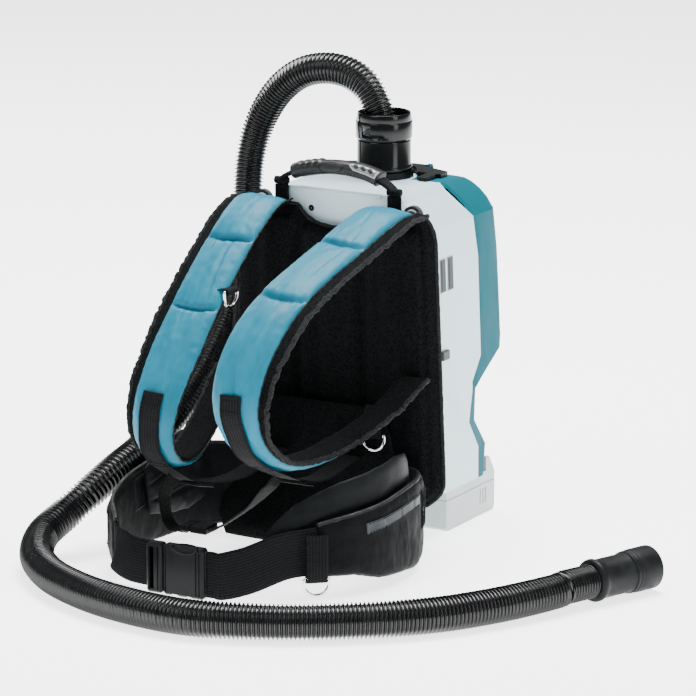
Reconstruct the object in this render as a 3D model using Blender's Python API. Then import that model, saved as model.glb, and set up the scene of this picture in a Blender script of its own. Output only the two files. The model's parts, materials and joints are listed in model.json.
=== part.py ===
"""Cordless backpack vacuum cleaner: a housing with two battery packs, worn on a padded harness.

Metres, +Z up.  The harness faces -Y and the service cover faces +Y.  A place is given as
(x, depth, height), where depth is the distance behind the housing's flat back face.
Left is -X and right is +X, as seen by someone who looks at the harness.
"""
import math

import bmesh
import bpy
from mathutils import Vector

# ---------------------------------------------------------------- driving dimensions
BACK_Y = 0.0635            # where the housing's back face lies along Y
GAP = 0.0003               # between pieces that touch
SNUG = 0.0006              # round a piece that slides or turns

WALL = 0.003               # housing and cover walls
BASE_Z = 0.046             # underside of the housing
WAIST_Z = 0.146            # joint line between the service cover and the lower trim
TOP_Z = 0.361              # top of the housing
BACK_CORNER = 0.012        # radius of the housing's back corners
DECK_Z = 0.144             # underside of the deck between motor room and bag room
DECK = 0.005
DECK_PORT_R = 0.026        # air way through the deck
BAY_ROOF_Z = 0.063         # roof of the two battery bays
BAG_LIFT = 0.048           # from the deck to the foot of the dust bag

# height, half width, depth of the seam between housing and cover, depth of the outer skin
LEVELS = (
    (BASE_Z, 0.1040, 0.111, 0.126),
    (0.080, 0.1045, 0.110, 0.130),
    (0.112, 0.1045, 0.084, 0.100),
    (WAIST_Z, 0.1045, 0.0915, 0.1005),
    (WAIST_Z + 0.0075, 0.1045, 0.0918, 0.1145),
    (0.177, 0.1045, 0.114, 0.158),
    (0.284, 0.1015, 0.112, 0.166),
    (0.326, 0.0985, 0.106, 0.163),
    (0.353, 0.0740, 0.092, 0.157),
    (TOP_Z, 0.0690, 0.088, 0.150),
)
COVER_DRAFT = 0.005        # how far the cover's sides lean in
COVER_BEVEL = 0.010
COVER_BEVEL_SHARE = 0.6    # of the skin's depth in front of the seam, where that is shallow
PANEL_INSET = 0.013        # white panel, in from the cover's side
PANEL_THICK = 0.0028

VENT_DEPTHS = (0.035, 0.050)
VENT_SLOT = 0.0085
VENT_LOW_Z = 0.261
VENT_HIGH_Z = 0.294
ROCKER_DEPTH = 0.050
ROCKER_Z = 0.215
ROCKER_HALF_DEEP = 0.0075
ROCKER_HALF_TALL = 0.0130

HINGE_DEPTH = 0.1005       # service cover's hinge line, on the outer skin at the waist
HINGE_R = 0.0040
HINGE_PIN_R = 0.0016
HINGE_HALF = 0.070
HINGE_MIDDLE = 0.026       # half length of the trim's own knuckle

INLET_DEPTH = 0.094        # axis of the hose inlet
INLET_BORE_R = 0.019
INLET_TUBE_R = 0.0235
INLET_FLANGE_R = 0.031
INLET_FLANGE = 0.0070
INLET_DROP = 0.017         # how far the inlet reaches into the bag room

LATCH_ROUND = 0.0040       # clear space between the latch lever and the inlet's flange
LATCH_WEB = 0.0050         # from that space to the lever's pivot line
LATCH_DEPTH = INLET_DEPTH + INLET_FLANGE_R + LATCH_ROUND + LATCH_WEB
LATCH_Z = TOP_Z + 0.0050
LATCH_PIN_R = 0.0012
LATCH_HALF = 0.060
LATCH_THICK = 0.0050
LATCH_EAR_X = 0.0346       # outer face of the ears that hold the lever's pin
LATCH_EAR = 0.0040

COUPLER_R = 0.0280
COUPLER_Z = TOP_Z + INLET_FLANGE + 2 * GAP
COUPLER_TALL = 0.0319
COUPLER_CUP = 0.0105         # depth of the cup that holds the hose's elbow
COUPLER_TOP_Z = COUPLER_Z + COUPLER_TALL
COUPLER_FLOOR_Z = COUPLER_TOP_Z - COUPLER_CUP
COUPLER_CUP_R = 0.0255
LOCK_R = 0.0295
LOCK_TALL = 0.0277
LOCK_MOUTH_R = 0.0278

HOSE_R = 0.0180            # crest of the ribs
HOSE_ROOT_R = 0.0162       # valley between the ribs
HOSE_BORE_R = 0.0140
HOSE_RIBS = 112
HOSE_BORE_STEPS = 48
HOSE_TILT = math.radians(22.0)
HOSE_START = (0.0035, INLET_DEPTH, 0.4035)
CUFF_AXIS_Z = 0.0222
CUFF_R = 0.0220            # wide mouth of the end cuff
CUFF_BORE_R = 0.0185
SLEEVE_R = 0.0200
SLEEVE_RING_R = 0.0215
SLEEVE_LENGTH = 0.046
CUFF_LENGTH = 0.034

BATTERY_X = 0.060
BATTERY_HALF = 0.0375
BATTERY_BACK = 0.053
BATTERY_FRONT = 0.160
BATTERY_NOSE = 0.141       # the latch block in front of the housing starts here
BATTERY_NOSE_Z = 0.060
RAIL_HALF = 0.024
BUTTON_HALF = 0.013

MOTOR_DEPTH = 0.042
MOTOR_R = 0.0330
MOTOR_BASE_Z = 0.0700
MOTOR_TOP_Z = DECK_Z - GAP
SHAFT_R = 0.0040

PLATE_FRONT = -0.0062      # harness plate, between housing and back pad
PLATE_TOP_Z = 0.335
PLATE_BASE_Z = 0.060
PLATE_HALF = 0.098
NOTCH_HALF = 0.052         # low middle of the plate's top edge
NOTCH_Z = 0.318
EAR_X = 0.088
EAR_Z = 0.3445
EAR_R = 0.0105

PAD_FRONT = -0.0270
PAD_TOP_Z = 0.3440
PAD_BOTTOM_Z = 0.044
PAD_TOP_HALF = 0.115
PAD_BOTTOM_HALF = 0.128
PAD_MIDDLE = 0.9           # share of the pad's thickness on its middle line
LUMBAR_THICK = 0.026
LUMBAR_DEPTH = PLATE_FRONT + (PAD_FRONT - PLATE_FRONT) * PAD_MIDDLE - GAP - LUMBAR_THICK / 2
STRAP_FOOT = PAD_FRONT    # depth at which the straps' lower ends meet the pad
HIP_Z = 0.0640             # middle of the hip belt at its rear ends

STRAP_THICK = 0.0160
STRAP_END_Z = PAD_TOP_Z + GAP + STRAP_THICK / 2

WEB_THICK = 0.0024
WEB_WIDTH = 0.0480
STRAP_WEB = 0.0240          # narrow webbing under the shoulder straps
STRAP_WEB_THICK = 0.0018
STRAP_WEB_GAP = 0.0016     # the strap's face is curved and the webbing's is not
STRAP_WEB_END = LUMBAR_DEPTH - LUMBAR_THICK / 2 + 0.0006

HANDLE_X = 0.066
HANDLE_DEPTH = -0.0032
HANDLE_Z = 0.3665
HANDLE_LUG_R = 0.0042

BUCKLE_DEPTH = -0.2800
BUCKLE_X = -0.0155         # middle of the waist buckle's body
BUCKLE_HALF = 0.0235
BUCKLE_TALL = 0.0520
BUCKLE_THICK = 0.0130
BUCKLE_Z = 0.0262

RING_WIRE_R = 0.0016
RING_R = 0.0125

SIDES = (("left", -1.0), ("right", 1.0))


# ---------------------------------------------------------------- small tools
def clear_scene():
    for item in list(bpy.data.objects):
        bpy.data.objects.remove(item, do_unlink=True)


def place(x, depth, height):
    """A point from its distance behind the housing's back face."""
    return Vector((x, BACK_Y + depth, height))


def material(name, color, roughness, metallic=0.0):
    mat = bpy.data.materials.get(name)
    if mat:
        return mat
    mat = bpy.data.materials.new(name)
    mat.use_nodes = True
    shader = mat.node_tree.nodes["Principled BSDF"]
    shader.inputs["Base Color"].default_value = (*color, 1.0)
    shader.inputs["Roughness"].default_value = roughness
    shader.inputs["Metallic"].default_value = metallic
    mat.diffuse_color = (*color, 1.0)
    return mat


def white_plastic():
    return material("white_plastic", (0.80, 0.82, 0.84), 0.35)


def teal_plastic():
    return material("teal_plastic", (0.03, 0.30, 0.34), 0.35)


def black_plastic():
    return material("black_plastic", (0.02, 0.02, 0.022), 0.4)


def grey_plastic():
    return material("grey_plastic", (0.16, 0.17, 0.18), 0.5)


def pale_plastic():
    return material("battery_plastic", (0.62, 0.61, 0.60), 0.5)


def black_rubber():
    return material("black_rubber", (0.02, 0.02, 0.02), 0.7)


def teal_fabric():
    return material("teal_fabric", (0.10, 0.42, 0.52), 0.6)


def black_fabric():
    return material("black_fabric", (0.02, 0.02, 0.022), 0.85)


def black_webbing():
    return material("black_webbing", (0.03, 0.03, 0.033), 0.8)


def steel():
    return material("steel", (0.62, 0.63, 0.65), 0.3, 1.0)


def chrome():
    return material("chrome", (0.85, 0.86, 0.88), 0.12, 1.0)


def finish(name, bm, mat, pivot=None, smooth_angle=None):
    """Turn a bmesh into a named object whose origin is its pivot."""
    bmesh.ops.remove_doubles(bm, verts=bm.verts, dist=1e-6)
    bmesh.ops.recalc_face_normals(bm, faces=bm.faces)
    origin = pivot if pivot is not None else Vector((0.0, BACK_Y, 0.0))
    bmesh.ops.translate(bm, verts=bm.verts, vec=-origin)
    mesh = bpy.data.meshes.new(name)
    bm.to_mesh(mesh)
    bm.free()
    obj = bpy.data.objects.new(name, mesh)
    obj.location = origin
    bpy.context.collection.objects.link(obj)
    mesh.materials.append(mat)
    if smooth_angle is not None:
        mesh.shade_smooth()
        mesh.set_sharp_from_angle(angle=math.radians(smooth_angle))
    return obj


def boolean(obj, other, operation):
    """Cut away or add a guide object, which itself stays out of the model."""
    other.hide_render = True
    other.display_type = "WIRE"
    mod = obj.modifiers.new(operation.lower(), "BOOLEAN")
    mod.operation = operation
    mod.solver = "EXACT"
    mod.object = other
    return obj


def cut(obj, *cutters):
    for cutter in cutters:
        boolean(obj, cutter, "DIFFERENCE")
    return obj


def join(obj, *others):
    for other in others:
        boolean(obj, other, "UNION")
    return obj


def loft(rings, closed=False):
    """A solid through rings of equal point counts, capped at both ends unless closed."""
    bm = bmesh.new()
    rows = [[bm.verts.new(point) for point in ring] for ring in rings]
    pairs = list(zip(rows, rows[1:]))
    if closed:
        pairs.append((rows[-1], rows[0]))
    for lower, upper in pairs:
        for index in range(len(lower)):
            after = (index + 1) % len(lower)
            bm.faces.new((lower[index], lower[after], upper[after], upper[index]))
    if not closed:
        bm.faces.new(reversed(rows[0]))
        bm.faces.new(rows[-1])
    return bm


def block(name, low, high, mat, bevel=0.0, pivot=None):
    """A box between two (x, depth, height) corners."""
    bm = bmesh.new()
    bmesh.ops.create_cube(bm, size=1.0)
    first, last = place(*low), place(*high)
    size = last - first
    bmesh.ops.scale(bm, verts=bm.verts, vec=size)
    bmesh.ops.translate(bm, verts=bm.verts, vec=(first + last) / 2)
    if bevel:
        bmesh.ops.bevel(bm, geom=bm.edges[:], offset=bevel, segments=1, affect="EDGES")
    return finish(name, bm, mat, pivot)


def frame_from(direction, hint=Vector((0.0, 0.0, 1.0))):
    """Two unit vectors square to a direction."""
    axis = direction.normalized()
    if abs(axis.dot(hint)) > 0.95:
        hint = Vector((1.0, 0.0, 0.0))
    side = axis.cross(hint).normalized()
    return side, axis.cross(side).normalized()


def circle(centre, direction, radius, sides, hint=Vector((0.0, 0.0, 1.0))):
    side, up = frame_from(direction, hint)
    turns = [2 * math.pi * index / sides for index in range(sides)]
    return [centre + radius * (math.cos(t) * side + math.sin(t) * up) for t in turns]


def turned(name, start, direction, profile, mat, sides=20, pivot=None, smooth_angle=40):
    """A solid of revolution: profile is a closed outline of (radius, distance along the axis)."""
    axis = direction.normalized()
    side, up = frame_from(axis)
    bm = bmesh.new()
    rows = []
    for radius, along in profile:
        centre = start + axis * along
        if radius < 1e-6:
            rows.append([bm.verts.new(centre)])
            continue
        angles = [2 * math.pi * index / sides for index in range(sides)]
        rows.append([bm.verts.new(centre + radius * (math.cos(a) * side + math.sin(a) * up)) for a in angles])
    for first, second in zip(rows, rows[1:] + rows[:1]):
        if len(first) == 1 and len(second) == 1:
            continue
        for index in range(sides):
            after = (index + 1) % sides
            if len(first) == 1:
                bm.faces.new((first[0], second[after], second[index]))
            elif len(second) == 1:
                bm.faces.new((first[index], first[after], second[0]))
            else:
                bm.faces.new((first[index], first[after], second[after], second[index]))
    return finish(name, bm, mat, pivot, smooth_angle)


def rod(name, start, end, radius, mat, sides=16, pivot=None):
    rings = [circle(point, end - start, radius, sides) for point in (start, end)]
    return finish(name, loft(rings), mat, pivot, 40)


def slab(name, outline, low_z, high_z, mat, pivot=None):
    """An outline of (x, depth) points, raised from one height to another."""
    rings = [[place(x, depth, z) for x, depth in outline] for z in (low_z, high_z)]
    return finish(name, loft(rings), mat, pivot)


def smooth_path(points, count):
    """Evenly spread points on a smooth curve through the given ones."""
    points = [Vector(point) for point in points]
    padded = [2 * points[0] - points[1]] + points + [2 * points[-1] - points[-2]]
    dense = []
    for index in range(1, len(padded) - 2):
        before, here, after, beyond = padded[index - 1:index + 3]
        for step in range(20):
            t = step / 20
            dense.append(0.5 * (2 * here + (after - before) * t
                                + (2 * before - 5 * here + 4 * after - beyond) * t * t
                                + (3 * here - before - 3 * after + beyond) * t ** 3))
    dense.append(points[-1])
    return resample(dense, count)


def resample(dense, count):
    lengths = [0.0]
    for first, second in zip(dense, dense[1:]):
        lengths.append(lengths[-1] + (second - first).length)
    spread, index = [], 0
    for step in range(count):
        target = lengths[-1] * step / (count - 1)
        while index < len(dense) - 2 and lengths[index + 1] < target:
            index += 1
        span = lengths[index + 1] - lengths[index]
        share = (target - lengths[index]) / span if span else 0.0
        spread.append(dense[index].lerp(dense[index + 1], min(share, 1.0)))
    return spread


def between(values, share):
    """The value at a share of the way along a list, straight between its entries."""
    at = share * (len(values) - 1)
    index = min(int(at), len(values) - 2)
    return values[index] + (values[index + 1] - values[index]) * (at - index)


def band(name, points, widths, thicks, across, mat, count=20, sides=12, seams=(), square=0.55):
    """A padded band along a path: crowned, drawn in at its edges and at its cross seams."""
    path = smooth_path(points, count)
    rings = []
    for index, centre in enumerate(path):
        share = index / (count - 1)
        ahead = path[min(index + 1, count - 1)] - path[max(index - 1, 0)]
        wide = between([Vector(item) for item in across], share)
        wide = (wide - wide.project(ahead)).normalized()
        thin = ahead.normalized().cross(wide)
        pinch = 1.0 - 0.5 * sum(math.exp(-((share - seam) / 0.022) ** 2) for seam in seams)
        ring = []
        for step in range(sides):
            turn = 2 * math.pi * step / sides
            a = math.copysign(abs(math.cos(turn)) ** square, math.cos(turn))
            b = math.copysign(abs(math.sin(turn)) ** square, math.sin(turn))
            edge = 1.0 - 0.35 * abs(a) ** 3
            ring.append(centre + wide * (a * between(widths, share) / 2)
                        + thin * (b * edge * pinch * between(thicks, share) / 2))
        rings.append(ring)
    return finish(name, loft(rings), mat, smooth_angle=60)


def ribbon(name, points, width, thick, across, mat, count=12):
    """Flat webbing along a path."""
    path = smooth_path(points, count)
    rings = []
    for index, centre in enumerate(path):
        share = index / (count - 1)
        ahead = path[min(index + 1, count - 1)] - path[max(index - 1, 0)]
        wide = between([Vector(item) for item in across], share)
        wide = (wide - wide.project(ahead)).normalized()
        thin = ahead.normalized().cross(wide)
        rings.append([centre + wide * (a * width / 2) + thin * (b * thick / 2)
                      for a, b in ((-1, -1), (1, -1), (1, 1), (-1, 1))])
    return finish(name, loft(rings), mat)


def pipe(name, points, radii, mat, sides=8, smooth_angle=60):
    """A round pipe along points, with a radius for each, turned as little as the path allows."""
    rings, side = [], None
    last = len(points) - 1
    for index, centre in enumerate(points):
        ahead = (points[min(index + 1, last)] - points[max(index - 1, 0)]).normalized()
        side = frame_from(ahead)[0] if side is None else (side - side.project(ahead)).normalized()
        other = ahead.cross(side)
        turns = [2 * math.pi * (step + 0.5) / sides for step in range(sides)]
        rings.append([centre + radii[index] * (math.cos(t) * side + math.sin(t) * other) for t in turns])
    return finish(name, loft(rings), mat, smooth_angle=smooth_angle)


# ---------------------------------------------------------------- housing and covers
def level_at(height):
    """Half width, seam depth and outer depth of the body at a height."""
    for low, high in zip(LEVELS, LEVELS[1:]):
        if height <= high[0]:
            share = (height - low[0]) / (high[0] - low[0])
            return [low[i] + (high[i] - low[i]) * share for i in (1, 2, 3)]
    return list(LEVELS[-1][1:])


def heights_between(low, high):
    return [low] + [level[0] for level in LEVELS if low + 1e-5 < level[0] < high - 1e-5] + [high]


def tub_ring(height, inset, front_extra):
    """Plan outline of the housing with rounded back corners."""
    half, seam, _ = level_at(height)
    half -= inset
    radius = BACK_CORNER - inset
    front = seam + front_extra
    corner = []
    for step in range(4):
        turn = math.radians(30 * step)
        corner.append((half - radius + radius * math.sin(turn), inset + radius - radius * math.cos(turn)))
    right = corner + [(half, front)]
    left = [(-x, depth) for x, depth in reversed(right)]
    return [place(x, depth, height) for x, depth in right + left]


def make_housing():
    rings = [tub_ring(height, 0.0, 0.0) for height in heights_between(BASE_Z, TOP_Z)]
    housing = finish("main_housing", loft(rings), white_plastic())
    lip = rod("guide_inlet_lip", place(0, INLET_DEPTH, TOP_Z - 0.016), place(0, INLET_DEPTH, TOP_Z - 0.0002),
              INLET_FLANGE_R + 0.003, white_plastic(), 24)
    join(housing, lip)
    past = 0.060
    bag_room = [tub_ring(z, WALL, past) for z in heights_between(DECK_Z + DECK, TOP_Z - WALL)]
    motor_room = [tub_ring(z, WALL, past) for z in heights_between(BAY_ROOF_Z + WALL, DECK_Z)]
    cut(housing, finish("cut_bag_room", loft(bag_room), white_plastic()))
    cut(housing, finish("cut_motor_room", loft(motor_room), white_plastic()))
    cut(housing, rod("cut_inlet", place(0, INLET_DEPTH, TOP_Z - 0.060), place(0, INLET_DEPTH, TOP_Z + 0.040),
                     INLET_TUBE_R + SNUG, white_plastic(), 24))
    cut(housing, rod("cut_deck", place(0, MOTOR_DEPTH, DECK_Z - 0.01), place(0, MOTOR_DEPTH, DECK_Z + 0.02),
                     DECK_PORT_R, white_plastic(), 24))
    for name, side in SIDES:
        cut(housing, battery_bay(name, side, BATTERY_BACK - 0.016))
        for slot, depth in enumerate(VENT_DEPTHS):
            low, high = sorted((side * 0.092, side * 0.112))
            cut(housing, block(f"cut_vent_{name}_{slot}", (low, depth - VENT_SLOT / 2, VENT_LOW_Z),
                               (high, depth + VENT_SLOT / 2, VENT_HIGH_Z), white_plastic()))
    low = (-0.112, ROCKER_DEPTH - ROCKER_HALF_DEEP - SNUG, ROCKER_Z - ROCKER_HALF_TALL - SNUG)
    high = (-0.092, ROCKER_DEPTH + ROCKER_HALF_DEEP + SNUG, ROCKER_Z + ROCKER_HALF_TALL + SNUG)
    cut(housing, block("cut_rocker", low, high, white_plastic()))


def battery_bay(name, side, back):
    """The space under the housing that a battery's rail slides through."""
    centre = side * BATTERY_X
    return block(f"cut_bay_{name}_{round(back * 1000)}", (centre - RAIL_HALF - SNUG, back, BASE_Z - 0.010),
                 (centre + RAIL_HALF + SNUG, BATTERY_FRONT + 0.02, BAY_ROOF_Z), white_plastic())


def make_vents():
    """Grilles behind the two slots of each side wall."""
    for name, side in SIDES:
        middle = (VENT_LOW_Z + VENT_HIGH_Z) / 2
        inner = level_at(VENT_HIGH_Z)[0] - WALL - GAP - 0.0009
        low, high = sorted((side * inner, side * (inner - 0.002)))
        vent = block(f"side_vent_{name}", (low, VENT_DEPTHS[0] - 0.009, middle - 0.022),
                     (high, VENT_DEPTHS[1] + 0.009, middle + 0.022), grey_plastic())
        for slot, depth in enumerate(VENT_DEPTHS):
            low, high = sorted((side * (inner - 0.001), side * (inner + 0.0022)))
            join(vent, block(f"guide_vent_{name}_{slot}", (low, depth - 0.0016, VENT_LOW_Z + 0.001),
                             (high, depth + 0.0036, VENT_HIGH_Z - 0.001), grey_plastic()))


def make_rocker():
    """Power switch: a rocker that tips on a pivot inside the left wall."""
    wall = level_at(ROCKER_Z)[0]
    pivot = place(-(wall - 0.0035), ROCKER_DEPTH, ROCKER_Z)
    outline = [(0.0055, 0.011), (0.0040, 0.0), (0.0055, -0.011),
               (-0.0035, -0.009), (-0.0060, 0.0), (-0.0035, 0.009)]
    rings = []
    for offset in (-ROCKER_HALF_DEEP, ROCKER_HALF_DEEP):
        rings.append([pivot + Vector((-out, offset, up)) for out, up in outline])
    finish("power_rocker", loft(rings), black_plastic(), pivot)


def skin_ring(height, inset, front_inset, back_extra):
    """Plan outline between the seam and the outer skin."""
    half, seam, outer = level_at(height)
    half -= inset
    outer -= front_inset
    bevel = min(COVER_BEVEL, (outer - seam) * COVER_BEVEL_SHARE)
    side = [(half, seam + GAP - back_extra), (half - COVER_DRAFT, outer - bevel),
            (half - COVER_DRAFT - bevel * 0.7, outer)]
    return [place(x, depth, height) for x, depth in side + [(-x, d) for x, d in reversed(side)]]


def shell(name, low_z, high_z, mat, pivot=None):
    """A hollow cover between two heights, open towards the housing."""
    rings = [skin_ring(z, 0.0, 0.0, 0.0) for z in heights_between(low_z, high_z)]
    body = finish(name, loft(rings), mat, pivot)
    rings = [skin_ring(z, WALL, WALL, 0.03) for z in heights_between(low_z + WALL, high_z - WALL)]
    return cut(body, finish(f"cut_{name}", loft(rings), mat))


def hinge_rod(name, left, right, radius):
    return rod(name, place(left, HINGE_DEPTH, WAIST_Z), place(right, HINGE_DEPTH, WAIST_Z), radius,
               teal_plastic(), 16)


def make_trim():
    """Lower front trim, with the middle knuckle of the cover's hinge."""
    trim = shell("lower_trim", BASE_Z, WAIST_Z - 2 * GAP, teal_plastic())
    for name, side in SIDES:
        cut(trim, battery_bay(name, side, 0.04))
        near, far = sorted((side * (HINGE_MIDDLE + GAP), side * (HINGE_HALF + GAP)))
        cut(trim, hinge_rod(f"cut_trim_knuckle_{name}", near, far, HINGE_R + SNUG))
    join(trim, hinge_rod("guide_trim_knuckle", -HINGE_MIDDLE, HINGE_MIDDLE, HINGE_R))
    cut(trim, hinge_rod("cut_trim_pin", -HINGE_HALF - 0.02, HINGE_HALF + 0.02, HINGE_PIN_R + SNUG / 4))


def make_cover():
    """Service cover: teal frame, white panel, hinge knuckles and ears for the latch."""
    pivot = place(0, HINGE_DEPTH, WAIST_Z)
    cover = shell("front_cover", WAIST_Z, TOP_Z, teal_plastic(), pivot)
    for name, side in SIDES:
        near, far = sorted((side * (HINGE_MIDDLE + 3 * GAP), side * HINGE_HALF))
        join(cover, hinge_rod(f"guide_cover_knuckle_{name}", near, far, HINGE_R))
        low, high = sorted((side * (LATCH_EAR_X - LATCH_EAR), side * LATCH_EAR_X))
        join(cover, block(f"guide_latch_ear_{name}", (low, LATCH_DEPTH - 0.0045, TOP_Z - 0.002),
                          (high, LATCH_DEPTH + 0.0045, LATCH_Z + 0.0030), teal_plastic()))
    cut(cover, hinge_rod("cut_cover_knuckle", -HINGE_MIDDLE - 2 * GAP, HINGE_MIDDLE + 2 * GAP, HINGE_R + SNUG))
    cut(cover, hinge_rod("cut_cover_pin", -HINGE_HALF - 0.02, HINGE_HALF + 0.02, HINGE_PIN_R + SNUG / 4))
    cut(cover, rod("cut_cover_inlet", place(0, INLET_DEPTH, TOP_Z - 0.060), place(0, INLET_DEPTH, TOP_Z + 0.040),
                   INLET_FLANGE_R + LATCH_ROUND + 0.0001, teal_plastic(), 24))
    cut(cover, latch_rod("cut_latch_ears", 0.04, LATCH_PIN_R + SNUG / 4))
    rod("cover_hinge_pin", place(-HINGE_HALF, HINGE_DEPTH, WAIST_Z), place(HINGE_HALF, HINGE_DEPTH, WAIST_Z),
        HINGE_PIN_R, steel(), 12, pivot)
    rings = []
    for height in heights_between(WAIST_Z + 0.033, TOP_Z - 0.014):
        half, _, outer = level_at(height)
        half -= COVER_DRAFT + PANEL_INSET
        corner = half - 0.003
        front = outer + GAP + PANEL_THICK
        outline = [(half, outer + GAP), (corner, front), (-corner, front), (-half, outer + GAP)]
        rings.append([place(x, depth, height) for x, depth in outline])
    finish("cover_panel", loft(rings), white_plastic(), pivot)


def make_gasket():
    """Rubber seal inside the housing's mouth, open round the hose inlet."""
    radius = 0.0015
    reach = WALL + GAP + radius
    side_points = []
    for height in heights_between(DECK_Z + DECK + GAP + radius, TOP_Z - WALL - GAP - radius):
        half, seam, _ = level_at(height)
        side_points.append((half - reach - 0.0008, seam - 0.004, height))
    start = (0.0, *side_points[0][1:])
    end = (0.040, *side_points[-1][1:])
    right = [start] + side_points + [end]
    left = [(-x, depth, height) for x, depth, height in reversed(right[1:])]
    points = [place(*point) for point in left + right]
    pipe("cover_gasket", points, [radius] * len(points), black_rubber(), 6)


def latch_rod(name, half, radius):
    return rod(name, place(-half, LATCH_DEPTH, LATCH_Z), place(half, LATCH_DEPTH, LATCH_Z), radius, steel(), 10)


def make_latch():
    """Latch lever on the cover's top: a bar round the inlet whose hooks hold the housing."""
    pivot = place(0, LATCH_DEPTH, LATCH_Z)
    half = LATCH_HALF
    bar = LATCH_EAR_X - LATCH_EAR - SNUG
    hook_tip, arm_back, arm_front = LATCH_DEPTH - 0.050, LATCH_DEPTH - 0.027, LATCH_DEPTH - 0.012
    hook = [(half - 0.016, arm_back), (half - 0.016, hook_tip),
            (half - 0.004, hook_tip), (half - 0.004, arm_back)]
    right = hook + [(half, arm_back), (half, arm_front),
                    (bar, LATCH_DEPTH - 0.006), (bar, LATCH_DEPTH + 0.0025)]
    outline = right + [(-x, depth) for x, depth in reversed(right)]
    low_z = TOP_Z + 0.0008
    latch = slab("cover_latch", outline, low_z, low_z + LATCH_THICK + 0.0012, black_plastic(), pivot)
    cut(latch, rod("cut_latch_round", place(0, INLET_DEPTH, TOP_Z - 0.010), place(0, INLET_DEPTH, TOP_Z + 0.020),
                   INLET_FLANGE_R + LATCH_ROUND, black_plastic(), 24))
    cut(latch, latch_rod("cut_latch_bore", 0.04, LATCH_PIN_R + SNUG / 4))
    rod("latch_pin", place(-LATCH_EAR_X, LATCH_DEPTH, LATCH_Z), place(LATCH_EAR_X, LATCH_DEPTH, LATCH_Z),
        LATCH_PIN_R, steel(), 10, pivot)


# ---------------------------------------------------------------- inside the housing
def make_inlet():
    """Fixed hose inlet that stands in the housing's top."""
    up = Vector((0, 0, 1))
    low = -INLET_DROP
    neck = COUPLER_FLOOR_Z - SNUG - TOP_Z
    profile = [(INLET_BORE_R, low), (INLET_TUBE_R, low), (INLET_TUBE_R, GAP), (INLET_FLANGE_R, GAP),
               (INLET_FLANGE_R, INLET_FLANGE), (INLET_TUBE_R, INLET_FLANGE), (INLET_TUBE_R, neck),
               (INLET_BORE_R, neck)]
    turned("inlet_socket", place(0, INLET_DEPTH, TOP_Z), up, profile, black_plastic())


def make_coupler():
    """Swivelling hose coupler, its lock ring and the elbow that ends the hose."""
    up = Vector((0, 0, 1))
    base = place(0, INLET_DEPTH, COUPLER_Z)
    floor = COUPLER_FLOOR_Z - COUPLER_Z
    cup = floor + 0.0022
    top = COUPLER_TOP_Z - COUPLER_Z
    socket = INLET_TUBE_R + SNUG
    foot = 0.0045
    profile = [(socket, 0.0), (COUPLER_R + 0.001, 0.0), (COUPLER_R + 0.001, foot), (COUPLER_R, foot + 0.001),
               (COUPLER_R, top), (COUPLER_CUP_R, top), (COUPLER_CUP_R, cup), (INLET_BORE_R, cup),
               (INLET_BORE_R, floor), (socket, floor)]
    turned("hose_coupler", base, up, profile, black_plastic(), pivot=base)
    ring_base = place(0, INLET_DEPTH, COUPLER_TOP_Z + GAP)
    profile = [(COUPLER_CUP_R, 0.0), (LOCK_R - 0.001, 0.0), (LOCK_R, 0.001), (LOCK_R, LOCK_TALL - 0.007),
               (LOCK_R - 0.0008, LOCK_TALL - 0.006), (LOCK_R, LOCK_TALL - 0.005), (LOCK_R - 0.001, LOCK_TALL),
               (LOCK_MOUTH_R, LOCK_TALL), (COUPLER_CUP_R, LOCK_TALL * 0.45)]
    lock = turned("lock_ring", ring_base, up, profile, black_plastic(), pivot=ring_base)
    for step in range(2):
        turn = math.radians(-100 + 180 * step)
        middle = ring_base + Vector((math.cos(turn) * LOCK_R, math.sin(turn) * LOCK_R, 0.0055))
        rings = [circle(middle + Vector((math.cos(turn), math.sin(turn), 0)) * out, Vector((math.cos(turn),
                 math.sin(turn), 0)), 0.0020, 8) for out in (-0.008, 0.008)]
        cut(lock, finish(f"cut_bayonet_{step}", loft(rings), black_plastic()))
    start = place(*HOSE_START)
    lean = hose_lean()
    foot_z = COUPLER_Z + cup + GAP
    rings = []
    for height, radius, share in ((foot_z, 0.0225, 0.0), (foot_z + 0.0035, 0.0225, 0.0),
                                  (foot_z + 0.0040, 0.0205, 0.1)):
        centre = place(HOSE_START[0] * share, INLET_DEPTH, height)
        rings.append(circle(centre, up, radius, 20, Vector((0, 1, 0))))
    for back, share in ((0.0045, 0.7), (GAP, 1.0)):
        tilt = Vector((lean.x * share, 0, 1 + (lean.z - 1) * share)).normalized()
        rings.append(circle(start - lean * back, tilt, HOSE_R, 20, Vector((0, 1, 0))))
    ferrule = finish("hose_ferrule", loft(rings), black_plastic(), smooth_angle=40)
    cut(ferrule, rod("cut_ferrule", place(0.001, INLET_DEPTH, 0.380), start + lean * 0.01, HOSE_BORE_R,
                     black_plastic(), 16))


def hose_lean():
    """Direction in which the hose leaves the coupler."""
    return Vector((-math.sin(HOSE_TILT), 0.0, math.cos(HOSE_TILT)))


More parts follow.
